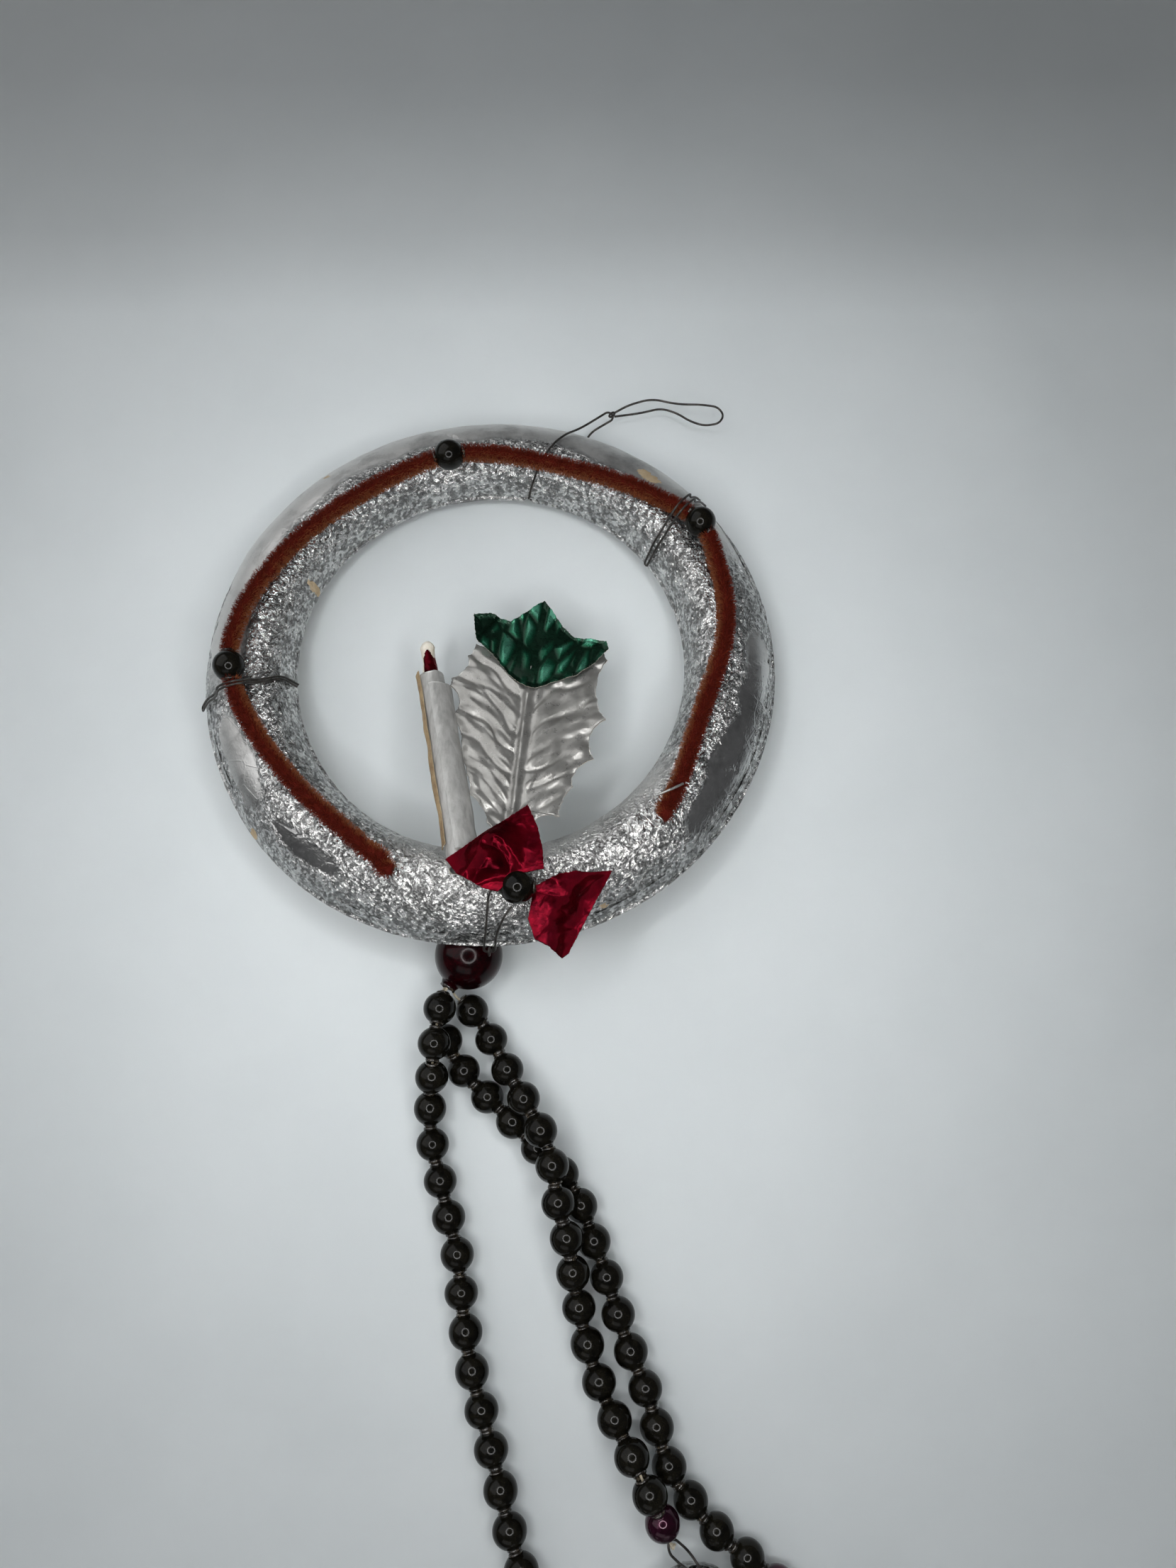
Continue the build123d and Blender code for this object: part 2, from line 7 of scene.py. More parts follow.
import bpy
import numpy as np
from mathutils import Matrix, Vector


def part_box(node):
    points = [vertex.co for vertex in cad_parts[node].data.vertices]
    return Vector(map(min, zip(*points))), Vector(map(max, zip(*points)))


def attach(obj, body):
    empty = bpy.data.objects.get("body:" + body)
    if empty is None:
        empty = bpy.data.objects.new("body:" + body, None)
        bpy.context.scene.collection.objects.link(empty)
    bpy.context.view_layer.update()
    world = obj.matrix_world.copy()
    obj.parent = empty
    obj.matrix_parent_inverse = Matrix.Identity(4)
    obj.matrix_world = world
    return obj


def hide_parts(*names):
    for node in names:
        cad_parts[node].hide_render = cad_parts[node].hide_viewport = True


MM = 0.001
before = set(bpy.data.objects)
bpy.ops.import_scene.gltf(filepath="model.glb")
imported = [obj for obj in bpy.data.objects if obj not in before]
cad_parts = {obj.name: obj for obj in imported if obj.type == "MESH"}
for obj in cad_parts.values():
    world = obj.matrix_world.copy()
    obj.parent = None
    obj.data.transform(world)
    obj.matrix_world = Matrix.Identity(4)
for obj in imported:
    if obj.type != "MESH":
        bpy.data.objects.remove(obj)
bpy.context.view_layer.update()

# The wreath lies in its own plane, tilted, with its near rim on the glass ball
RING_OUTER_R = 76.0
RING_INNER_R = 52.3
CREST_R = 60.5
RING_HEIGHT = 12.5
CARD_INSET = 0.95
CARD_T = 1.0
RING_TILT = math.radians(6.6)
RING_Y = 2.0
ring_lift = RING_OUTER_R * math.sin(RING_TILT)

PILE_R = 2.4
BEAD_R = 4.1
LIP_R = 1.5
BORE_R = 1.0
THREAD_D = 0.6

BALL_CENTRE = np.array([-4.4, -75.1, 8.6])
BALL_AXIS = np.array([-0.54, -0.84, 0.0]) / math.hypot(0.54, 0.84)
BALL_R = 8.6
NECK_R = 2.1
NECK_LENGTH = 1.2
THREAD_OFFSET = 0.85

CANDLE_BASE = np.array([-4.0, -60.5, 16.7])
CANDLE_TOP = np.array([-15.0, -6.6, 7.3])
CANDLE_R = 3.5
FLAME_R = 2.0
FLAME_OUT = 11.5

LEAF_APEX = np.array([14.4, 15.6, 5.5])
LEAF_SLOPE = math.radians(8.0)

ICICLE_R = 11.0
ICICLE_CAP = 7.0
ICICLE_LENGTH = 68.0
ICICLE_TIP_R = 0.8

# Camera: 0.3 m above the table, tipped a little towards the far side
CAMERA_AT = (25.96, -95.2, 300.7)
CAMERA_TIP = math.radians(12.52)
CAMERA_LENS = 26.09


# ---------------------------------------------------------------- numbers and noise

def unit(v):
    v = np.asarray(v, float)
    return v / np.linalg.norm(v, axis=-1, keepdims=True)


def set_down(points):
    """Points of the wreath's own frame, where the tilted wreath has them."""
    x, y, z = np.moveaxis(np.asarray(points, float), -1, 0)
    c, s = math.cos(RING_TILT), math.sin(RING_TILT)
    return np.stack([x, RING_Y + y * c + z * s, ring_lift - y * s + z * c], -1)


def lift_up(points):
    """The reverse of set_down."""
    x, y, z = np.moveaxis(np.asarray(points, float), -1, 0)
    c, s = math.cos(RING_TILT), math.sin(RING_TILT)
    y, z = y - RING_Y, z - ring_lift
    return np.stack([x, y * c - z * s, y * s + z * c], -1)


def cell_number(cells, seed):
    """A random number from 0 to 1 for each whole-number cell."""
    n = cells[..., 0] * 73856093 ^ cells[..., 1] * 19349663 ^ cells[..., 2] * 83492791
    n = (n ^ (seed * 668265263)) & 0xFFFFFFFF
    n = ((n ^ (n >> 15)) * 2246822519) & 0xFFFFFFFF
    n = ((n ^ (n >> 13)) * 3266489917) & 0xFFFFFFFF
    return ((n ^ (n >> 16)) & 0xFFFFFF) / 0x1000000


def noise(points, size, seed=0):
    """Smooth noise from -1 to 1 whose lumps are about size across."""
    p = np.asarray(points, float) / size
    low = np.floor(p).astype(np.int64)
    t = p - low
    t = t * t * (3 - 2 * t)
    total = 0.0
    for corner in np.ndindex(2, 2, 2):
        share = np.prod(np.where(corner, t, 1 - t), -1)
        total = total + share * cell_number(low + corner, seed)
    return 2 * total - 1


def cells(points, size, seed=0):
    """Distance to the nearest and the second nearest of scattered points, about size apart."""
    p = np.asarray(points, float) / size
    low = np.floor(p).astype(np.int64)
    found = []
    for step in np.ndindex(3, 3, 3):
        cell = low + step - 1
        spot = cell + np.stack([cell_number(cell, seed + k) for k in (1, 2, 3)], -1)
        found.append(np.linalg.norm(p - spot, axis=-1))
    found = np.sort(np.stack(found, -1), -1)
    return found[..., 0], found[..., 1]


def smooth(low, high, x):
    t = np.clip((np.asarray(x, float) - low) / (high - low), 0, 1)
    return t * t * (3 - 2 * t)


def bezier(controls, count):
    t = np.linspace(0, 1, count)[:, None]
    a, b, c, d = [np.asarray(p, float) for p in controls]
    s = 1 - t
    return a * s**3 + 3 * b * s * s * t + 3 * c * s * t * t + d * t**3


def resample(points, count):
    """Points at equal distances along a line of points."""
    points = np.asarray(points, float)
    along = np.concatenate([[0], np.cumsum(np.linalg.norm(np.diff(points, axis=0), axis=1))])
    at = np.linspace(0, along[-1], count)
    return np.stack([np.interp(at, along, points[:, k]) for k in range(points.shape[1])], -1)


def on_plane(x, y):
    """Flat points, at height 0."""
    return np.stack([x, y, 0 * x], -1)


def round_axis(radius, turn, level):
    """Points at a radius and a turn about the Z axis."""
    return np.stack([radius * np.cos(turn), radius * np.sin(turn), level + 0 * turn], -1)


def full_turn(count):
    return np.linspace(0, 2 * math.pi, count, endpoint=False)


def crosswise(direction):
    """Two directions across this one."""
    d = unit(direction)
    spare = np.where(np.abs(d[..., 2:]) < 0.9, np.array([0.0, 0, 1]), np.array([1.0, 0, 0]))
    side = unit(np.cross(spare, d))
    return side, np.cross(d, side)


# ---------------------------------------------------------------- meshes

def grid_faces(rows, columns, around_rows=False, around_columns=False):
    i = np.arange(rows if around_rows else rows - 1)[:, None]
    j = np.arange(columns if around_columns else columns - 1)[None, :]
    i2, j2 = (i + 1) % rows, (j + 1) % columns
    quads = np.stack([i * columns + j, i * columns + j2, i2 * columns + j2, i2 * columns + j], -1)
    return quads.reshape(-1, 4)


def into_triangles(quads, rng):
    """Each quad cut along one of its diagonals, chosen at random."""
    flip = rng.random(len(quads)) < 0.5
    turned = np.where(flip[:, None], np.roll(quads, 1, axis=1), quads)
    return np.concatenate([turned[:, [0, 1, 2]], turned[:, [0, 2, 3]]])


def add_mesh(name, points, faces, materials, body, slot, replaces=(), flat=False, kinds=None, values=None):
    """A piece from points in millimetres. kinds gives each face's material, values named numbers per point."""
    mesh = bpy.data.meshes.new(name)
    mesh.from_pydata((np.asarray(points, float) * MM).tolist(), [], [list(f) for f in faces])
    for material in materials:
        mesh.materials.append(material)
    if kinds is not None:
        mesh.polygons.foreach_set("material_index", np.asarray(kinds, np.int32))
    for key, numbers in (values or {}).items():
        attribute = mesh.attributes.new(key, "FLOAT", "POINT")
        attribute.data.foreach_set("value", np.asarray(numbers, np.float32))
    mesh.polygons.foreach_set("use_smooth", np.full(len(mesh.polygons), not flat))
    mesh.update()
    piece = bpy.data.objects.new(name, mesh)
    bpy.context.scene.collection.objects.link(piece)
    return settle(piece, body, replaces)


def settle(piece, body, replaces=()):
    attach(piece, body)
    if replaces:
        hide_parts(*replaces)
    return piece


def joined(parts):
    """Several (points, faces, kinds) as one."""
    points, faces, kinds, start = [], [], [], 0
    for p, f, k in parts:
        points.append(p)
        faces += (np.asarray(f) + start).tolist()
        kinds += list(k)
        start += len(p)
    return np.concatenate(points), faces, kinds


def sweep(line, radius, sides=10, closed=False):
    """Tube along a line of points: radius is one number, or one for each point."""
    line = np.asarray(line, float)
    along = np.gradient(line, axis=0) if not closed else np.roll(line, -1, 0) - np.roll(line, 1, 0)
    along = unit(along)
    side = crosswise(along[0])[0]
    rims = []
    radius = np.broadcast_to(radius, len(line))
    turn = full_turn(sides)[:, None]
    for point, direction, r in zip(line, along, radius):
        side = unit(side - direction * np.dot(side, direction))
        up = np.cross(direction, side)
        rims.append(point + r * (np.cos(turn) * side + np.sin(turn) * up))
    faces = grid_faces(len(line), sides, closed, True)
    return np.concatenate(rims), faces


def capped(points, faces, sides):
    """The faces with both ends of a tube closed by fans."""
    count = len(points)
    middle = [points[:sides].mean(0), points[-sides:].mean(0)]
    near = [[count, (k + 1) % sides, k, k] for k in range(sides)]
    far = [[count + 1, count - sides + k, count - sides + (k + 1) % sides] for k in range(sides)]
    return np.concatenate([points, middle]), faces.tolist() + [f[:3] for f in near] + far


# ---------------------------------------------------------------- materials

class Finish:
    """A Principled material whose patterns are in metres of the piece's own space."""

    def __init__(self, name, color, roughness, metallic=0.0, **sockets):
        self.material = bpy.data.materials.new(name)
        self.material.use_nodes = True
        self.tree = self.material.node_tree
        self.shader = self.tree.nodes["Principled BSDF"]
        self.place = self.tree.nodes.new("ShaderNodeTexCoord").outputs["Object"]
        self.height = None
        self.set("Base Color", (*color, 1.0))
        self.set("Roughness", roughness)
        self.set("Metallic", metallic)
        for key, value in sockets.items():
            self.set(key.replace("_", " ").title().replace("Ior", "IOR"), value)

    def feed(self, target, value):
        """Link a socket to the target, or write a plain value into it."""
        if isinstance(value, bpy.types.NodeSocket):
            self.tree.links.new(value, target)
        else:
            target.default_value = value

    def set(self, socket, value):
        self.feed(self.shader.inputs[socket], value)

    def node(self, kind, **inputs):
        made = self.tree.nodes.new(kind)
        for key, value in inputs.items():
            self.feed(made.inputs[key.replace("_", " ").title()], value)
        return made

    def noise(self, size, detail=3.0, roughness=0.55, distortion=0.0, stretch=None):
        where = self.place
        if stretch:
            mapped = self.node("ShaderNodeMapping", Vector=where)
            mapped.inputs["Scale"].default_value = stretch
            where = mapped.outputs[0]
        made = self.node("ShaderNodeTexNoise", Vector=where, Scale=1 / (size * MM), Detail=detail,
                         Roughness=roughness, Distortion=distortion)
        return made.outputs["Fac"]

    def cells(self, size, metric="EUCLIDEAN", feature="F1"):
        made = self.node("ShaderNodeTexVoronoi", Vector=self.place, Scale=1 / (size * MM))
        made.distance = metric
        made.feature = feature
        return made.outputs["Distance"]

    def facets(self, size):
        """A random grey for each cell of a mosaic."""
        made = self.node("ShaderNodeTexVoronoi", Vector=self.place, Scale=1 / (size * MM))
        return made.outputs["Color"]

    def value(self, key):
        made = self.tree.nodes.new("ShaderNodeAttribute")
        made.attribute_name = key
        return made.outputs["Fac"]

    def ramp(self, source, *stops):
        """Colours or greys at places from 0 to 1 along the source."""
        made = self.tree.nodes.new("ShaderNodeValToRGB")
        self.tree.links.new(source, made.inputs[0])
        band = made.color_ramp
        while len(band.elements) < len(stops):
            band.elements.new(0.5)
        for element, (at, color) in zip(band.elements, stops):
            element.position = at
            element.color = (*color, 1.0) if isinstance(color, tuple) else (color, color, color, 1.0)
        return made.outputs[0]

    def math(self, kind, a, b):
        made = self.tree.nodes.new("ShaderNodeMath")
        made.operation = kind
        self.feed(made.inputs[0], a)
        self.feed(made.inputs[1], b)
        return made.outputs[0]

    def mix(self, share, a, b, kind="MIX"):
        made = self.tree.nodes.new("ShaderNodeMix")
        made.data_type = "RGBA"
        made.blend_type = kind
        for target, value in zip((made.inputs[0], made.inputs[6], made.inputs[7]), (share, a, b)):
            self.feed(target, (*value, 1.0) if isinstance(value, tuple) else value)
        return made.outputs[2]

    def bump(self, height, depth, strength=1.0):
        """Relief of this depth in millimetres, on top of any relief already there."""
        made = self.node("ShaderNodeBump", Height=height, Strength=strength, Distance=depth * MM)
        if self.height is not None:
            self.tree.links.new(self.height, made.inputs["Normal"])
        self.height = made.outputs[0]
        self.set("Normal", self.height)


def foil_finish(name, bright, dull, shiny=0.17, matt=0.42, facet=0.9, relief=0.55):
    """Foil whose point value "dull" turns bright metal greyer and satin, and "smooth" irons out its crinkles."""
    foil = Finish(name, bright, shiny, 1.0)
    worn = foil.value("dull")
    stain = foil.ramp(foil.noise(9.0, 5.0, 0.65), (0.30, 0.62), (0.50, 0.92), (0.72, 1.0))
    smooth_share = foil.value("smooth")
    # Painted glints: each foil facet gets a random grey in the metal's colour, as if it caught more or less light.
    small = foil.math("MULTIPLY", foil.facets(facet), 0.6)
    large = foil.math("MULTIPLY", foil.facets(facet * 2.3), 0.4)
    glint = foil.ramp(foil.math("ADD", small, large), (0.36, 0.30), (0.50, 0.56), (0.64, 1.0))
    glint = foil.mix(smooth_share, glint, (0.80, 0.80, 0.80))
    tone = foil.mix(1.0, bright, glint, "MULTIPLY")
    tone = foil.mix(worn, tone, dull)
    foil.set("Base Color", foil.mix(1.0, tone, stain, "MULTIPLY"))
    grain = foil.ramp(foil.noise(1.4, 4.0), (0.3, shiny * 0.8), (0.75, shiny * 1.7))
    foil.set("Roughness", foil.mix(worn, grain, (matt, matt, matt)))
    crisp = foil.math("SUBTRACT", 1.0, foil.math("MULTIPLY", smooth_share, 0.94))
    foil.bump(foil.math("MULTIPLY", foil.noise(facet * 1.7, 3.0, 0.55, 1.2), crisp), relief)
    foil.bump(foil.math("MULTIPLY", foil.cells(facet, "CHEBYCHEV"), crisp), relief * 0.35)
    creases = foil.ramp(foil.cells(5.5, feature="DISTANCE_TO_EDGE"), (0.0, 1.0), (0.05, 0.0))
    foil.bump(creases, 0.06, 0.5)
    return foil.material


def glass_finish(name, deep, stain, roughness, metallic, coat):
    """Thick blown glass, tarnished inside, so dark that it reads as opaque."""
    glass = Finish(name, deep, roughness, metallic, coat_weight=coat, coat_roughness=0.05, ior=1.28)
    patch = glass.ramp(glass.noise(2.6, 6.0, 0.7, 0.6), (0.38, deep), (0.62, stain))
    bright = tuple(min(1, 3.2 * s) for s in stain)
    specks = glass.ramp(glass.cells(0.55), (0.10, bright), (0.20, (0, 0, 0)))
    glass.set("Base Color", glass.mix(0.35, patch, specks, "ADD"))
    glass.set("Roughness", glass.ramp(glass.noise(1.3, 5.0, 0.7), (0.35, roughness), (0.70, roughness + 0.09)))
    glass.bump(glass.noise(3.2, 2.0), 0.05, 0.3)
    return glass.material


def wire_finish():
    wire = Finish("dark_steel_wire", (0.06, 0.055, 0.05), 0.42, 0.7)
    tarnish = wire.noise(1.8, 4.0)
    wire.set("Base Color", wire.ramp(tarnish, (0.35, (0.030, 0.028, 0.026)), (0.7, (0.10, 0.092, 0.085))))
    wire.set("Roughness", wire.ramp(wire.noise(0.7, 3.0), (0.3, 0.32), (0.7, 0.62)))
    wire.bump(wire.noise(0.25, 2.0), 0.03, 0.6)
    return wire.material


def paper_finish(name, dark, light, fibre=0.5):
    paper = Finish(name, light, 0.8)
    paper.set("Base Color", paper.ramp(paper.noise(4.0, 6.0, 0.7), (0.3, dark), (0.65, light)))
    paper.bump(paper.noise(fibre, 4.0, 0.6, 0.3), 0.10, 0.6)
    return paper.material


def candle_finish():
    paper = Finish("satin_silver_paper", (0.74, 0.74, 0.72), 0.36, 0.30)
    streaks = paper.noise(1.6, 5.0, 0.6, 0.4, stretch=(1.0, 0.22, 1.0))
    paper.set("Base Color", paper.ramp(streaks, (0.28, (0.34, 0.34, 0.325)), (0.55, (0.50, 0.50, 0.485)),
                                       (0.8, (0.60, 0.60, 0.585))))
    paper.set("Roughness", paper.ramp(streaks, (0.3, 0.46), (0.7, 0.30)))
    paper.bump(paper.cells(1.7, "MANHATTAN"), 0.12, 0.45)
    paper.bump(paper.noise(0.3, 3.0), 0.02, 0.6)
    return paper.material


def leaf_finish():
    leaf = Finish("pearly_silver_paper", (0.45, 0.44, 0.43), 0.32, 0.7, coat_weight=0.2, coat_roughness=0.2)
    patches = leaf.noise(6.0, 5.0, 0.6)
    leaf.set("Base Color", leaf.ramp(patches, (0.30, (0.30, 0.295, 0.28)), (0.60, (0.44, 0.435, 0.415))))
    leaf.set("Roughness", leaf.ramp(leaf.noise(2.0, 4.0), (0.3, 0.24), (0.7, 0.40)))
    leaf.bump(leaf.noise(1.1, 3.0), 0.08, 0.4)
    leaf.bump(leaf.noise(0.3, 3.0), 0.02, 0.5)
    return leaf.material


def green_finish():
    green = Finish("embossed_green_foil", (0.02, 0.30, 0.16), 0.30, 0.8, coat_weight=0.3, coat_roughness=0.15)
    tone = green.ramp(green.noise(3.5, 4.0, 0.6), (0.3, 0.55), (0.7, 1.0))
    # Painted shade and highlight: the embossing's grooves and the bent-up corner are painted dark green, and the
    # long blisters are painted light.
    shade = green.ramp(green.value("raised"), (0.0, (0.001, 0.028, 0.012)), (0.5, (0.010, 0.15, 0.075)),
                       (1.0, (0.090, 0.36, 0.24)))
    green.set("Base Color", green.mix(1.0, shade, tone, "MULTIPLY"))
    green.set("Roughness", green.ramp(green.noise(1.2, 4.0), (0.3, 0.20), (0.7, 0.40)))
    green.bump(green.noise(0.7, 3.0), 0.08, 0.5)
    return green.material


def crimson_finish():
    red = Finish("crumpled_crimson_foil", (0.12, 0.002, 0.01), 0.18, 0.6, ior=1.35,
                 specular_tint=(0.9, 0.1, 0.2, 1))
    patches = red.noise(5.0, 4.0)
    red.set("Base Color", red.ramp(patches, (0.3, (0.028, 0.0004, 0.002)), (0.65, (0.09, 0.0010, 0.005))))
    red.set("Roughness", red.ramp(red.noise(1.0, 3.0), (0.3, 0.12), (0.7, 0.28)))
    red.bump(red.noise(4.0, 2.0, 0.5, 1.0), 0.30, 0.4)
    return red.material


def pile_finish():
    pile = Finish("brick_red_pile", (0.30, 0.03, 0.015), 0.9, specular_ior_level=0.1)
    # Painted shade: this value is lowest on the core and at the fibres' roots, so the pile is painted darker deep
    # down; it is higher on fibres pointing in towards the ring's middle, plus noise.
    root_shade_and_tone = pile.math("ADD", pile.value("root_shade_and_tone"), pile.math("MULTIPLY", pile.noise(2.5, 4.0), 0.5))
    pile.set("Base Color", pile.ramp(root_shade_and_tone, (0.28, (0.085, 0.008, 0.004)), (0.62, (0.155, 0.020, 0.008)),
                                     (1.0, (0.26, 0.085, 0.032))))
    return pile.material


def thread_finish():
    cotton = Finish("twisted_cream_cotton", (0.66, 0.59, 0.44), 0.9, sheen_weight=0.2)
    aged = cotton.noise(0.9, 4.0)
    cotton.set("Base Color", cotton.ramp(aged, (0.3, (0.44, 0.36, 0.24)), (0.7, (0.74, 0.68, 0.53))))
    cotton.bump(cotton.noise(0.12, 2.0, stretch=(1.0, 0.3, 1.0)), 0.08, 0.8)
    return cotton.material


def lip_finish():
    lip = Finish("cream_brown_lip_glass", (0.45, 0.33, 0.2), 0.25, coat_weight=0.7)
    chips = lip.noise(1.5, 5.0, 0.7)
    lip.set("Base Color", lip.ramp(chips, (0.42, (0.006, 0.005, 0.004)), (0.60, (0.030, 0.023, 0.015)),
                                   (0.76, (0.30, 0.25, 0.17))))
    lip.bump(lip.noise(0.6, 3.0), 0.08, 0.7)
    return lip.material


def floor_finish():
    """Pale table whose colour darkens away from its lit middle and towards its far side: painted light falloff and
    painted shade.
    """
    table = Finish("pale_table", (0.74, 0.74, 0.73), 0.55)
    mottle = table.ramp(table.noise(60.0, 5.0), (0.35, (0.70, 0.75, 0.765)), (0.65, (0.74, 0.79, 0.805)))
    depth = table.node("ShaderNodeSeparateXYZ", Vector=table.place).outputs["Y"]
    # Painted shade: the table's colour darkens towards its far side.
    far = table.ramp(table.math("MULTIPLY", depth, 2.0), (0.23, 1.0), (0.29, 0.78), (0.40, 0.62))
    length = table.node("ShaderNodeVectorMath", Vector=table.place)
    length.operation = "LENGTH"
    from_middle = table.math("MULTIPLY", length.outputs["Value"], 2.0)
    # Painted light falloff: the table's colour darkens away from its middle.
    painted_falloff = table.ramp(from_middle, (0.18, 1.0), (0.38, 0.74), (0.54, 0.66))
    shade = table.mix(1.0, far, painted_falloff, "MULTIPLY")
    table.set("Base Color", table.mix(1.0, mottle, shade, "MULTIPLY"))
    table.bump(table.noise(0.8, 3.0), 0.02, 0.3)
    return table.material


silver_foil = foil_finish("crinkled_silver_foil", (0.86, 0.86, 0.85), (0.78, 0.775, 0.76), 0.16, 0.50, 0.72)
icicle_foil = foil_finish("crinkled_icicle_foil", (0.84, 0.84, 0.83), (0.62, 0.61, 0.60), 0.15, 0.3, 1.1, 0.4)
grey_card = paper_finish("grey_brown_card", (0.24, 0.20, 0.15), (0.42, 0.36, 0.28))
tan_card = paper_finish("bare_tan_card", (0.36, 0.26, 0.15), (0.58, 0.47, 0.31))
brown_card = paper_finish("raw_brown_card", (0.20, 0.12, 0.06), (0.46, 0.34, 0.19))
cream_paper = paper_finish("cream_paper", (0.66, 0.58, 0.45), (0.88, 0.84, 0.74), 0.7)
dark_glass = glass_finish("tarnished_dark_glass", (0.0022, 0.0021, 0.0016), (0.0075, 0.0066, 0.0042), 0.10, 0, 0)
purple_glass = glass_finish("purple_glass", (0.016, 0.0015, 0.007), (0.040, 0.004, 0.019), 0.12, 0.6, 0.4)
garnet_glass = glass_finish("garnet_glass", (0.002, 0.0002, 0.0003), (0.016, 0.0004, 0.0015), 0.12, 0.1, 0.0)
dark_wire = wire_finish()
silver_paper = candle_finish()
pearly_paper = leaf_finish()
green_foil = green_finish()
crimson_foil = crimson_finish()
red_pile = pile_finish()
cream_cotton = thread_finish()
lip_glass = lip_finish()


# ---------------------------------------------------------------- camera, light and table

def make_camera():
    data = bpy.data.cameras.new("camera")
    data.lens = CAMERA_LENS
    data.clip_start = 0.01
    camera = bpy.data.objects.new("camera", data)
    camera.location = Vector(CAMERA_AT) * MM
    camera.rotation_euler = (CAMERA_TIP, 0, 0)
    bpy.context.scene.collection.objects.link(camera)
    bpy.context.scene.camera = camera


def area_light(name, at, aim, size, power):
    data = bpy.data.lights.new(name, "AREA")
    data.shape = "RECTANGLE"
    data.size, data.size_y = size
    data.energy = power
    lamp = bpy.data.objects.new(name, data)
    lamp.location = at
    lamp.rotation_euler = (Vector(aim) - Vector(at)).to_track_quat("-Z", "Y").to_euler()
    bpy.context.scene.collection.objects.link(lamp)


RING_LIGHT_R = 130.0
RING_LIGHT_TUBE = 7.5
RING_LIGHT_LIFT = 6.0
RING_LIGHT_POWER = 20.0
TABLE_SIZE = 3.0


def make_studio():
    """Pale table, one broad overhead light, and a ring light round the camera."""
    bpy.ops.mesh.primitive_plane_add(size=TABLE_SIZE, location=(0, 0, 0))
    table = bpy.context.object
    table.name = "table"
    table.data.materials.append(floor_finish())
    circle = round_axis(RING_LIGHT_R, full_turn(96), 0)
    tip = np.array([[1, 0, 0], [0, math.cos(CAMERA_TIP), -math.sin(CAMERA_TIP)],
                    [0, math.sin(CAMERA_TIP), math.cos(CAMERA_TIP)]])
    above = np.array(CAMERA_AT) + [0, 0, RING_LIGHT_LIFT]
    points, faces = sweep(circle @ tip.T + above, RING_LIGHT_TUBE, 12, True)
    mesh = bpy.data.meshes.new("ring_light")
    mesh.from_pydata((points * MM).tolist(), [], faces.tolist())
    glow = bpy.data.materials.new("ring_light_glow")
    glow.use_nodes = True
    shader = glow.node_tree.nodes["Principled BSDF"]
    shader.inputs["Base Color"].default_value = (0, 0, 0, 1)
    shader.inputs["Emission Color"].default_value = (1, 1, 1, 1)
    shader.inputs["Emission Strength"].default_value = RING_LIGHT_POWER
    mesh.materials.append(glow)
    lamp = bpy.data.objects.new("ring_light", mesh)
    lamp.visible_camera = False
    bpy.context.scene.collection.objects.link(lamp)
    area_light("key", (-0.85, 0.50, 1.0), (0, -0.08, 0), (1.9, 1.5), 8.6)
    area_light("front", (-0.25, -1.1, 0.7), (0, -0.1, 0), (1.0, 0.5), 1.0)
    world = bpy.data.worlds.new("studio")
    world.use_nodes = True
    sky = world.node_tree.nodes["Background"].inputs
    sky["Color"].default_value = (0.62, 0.63, 0.65, 1)
    sky["Strength"].default_value = 0.13
    bpy.context.scene.world = world
    bpy.context.scene.view_settings.view_transform = "Standard"


make_camera()
make_studio()


# ---------------------------------------------------------------- bead strands

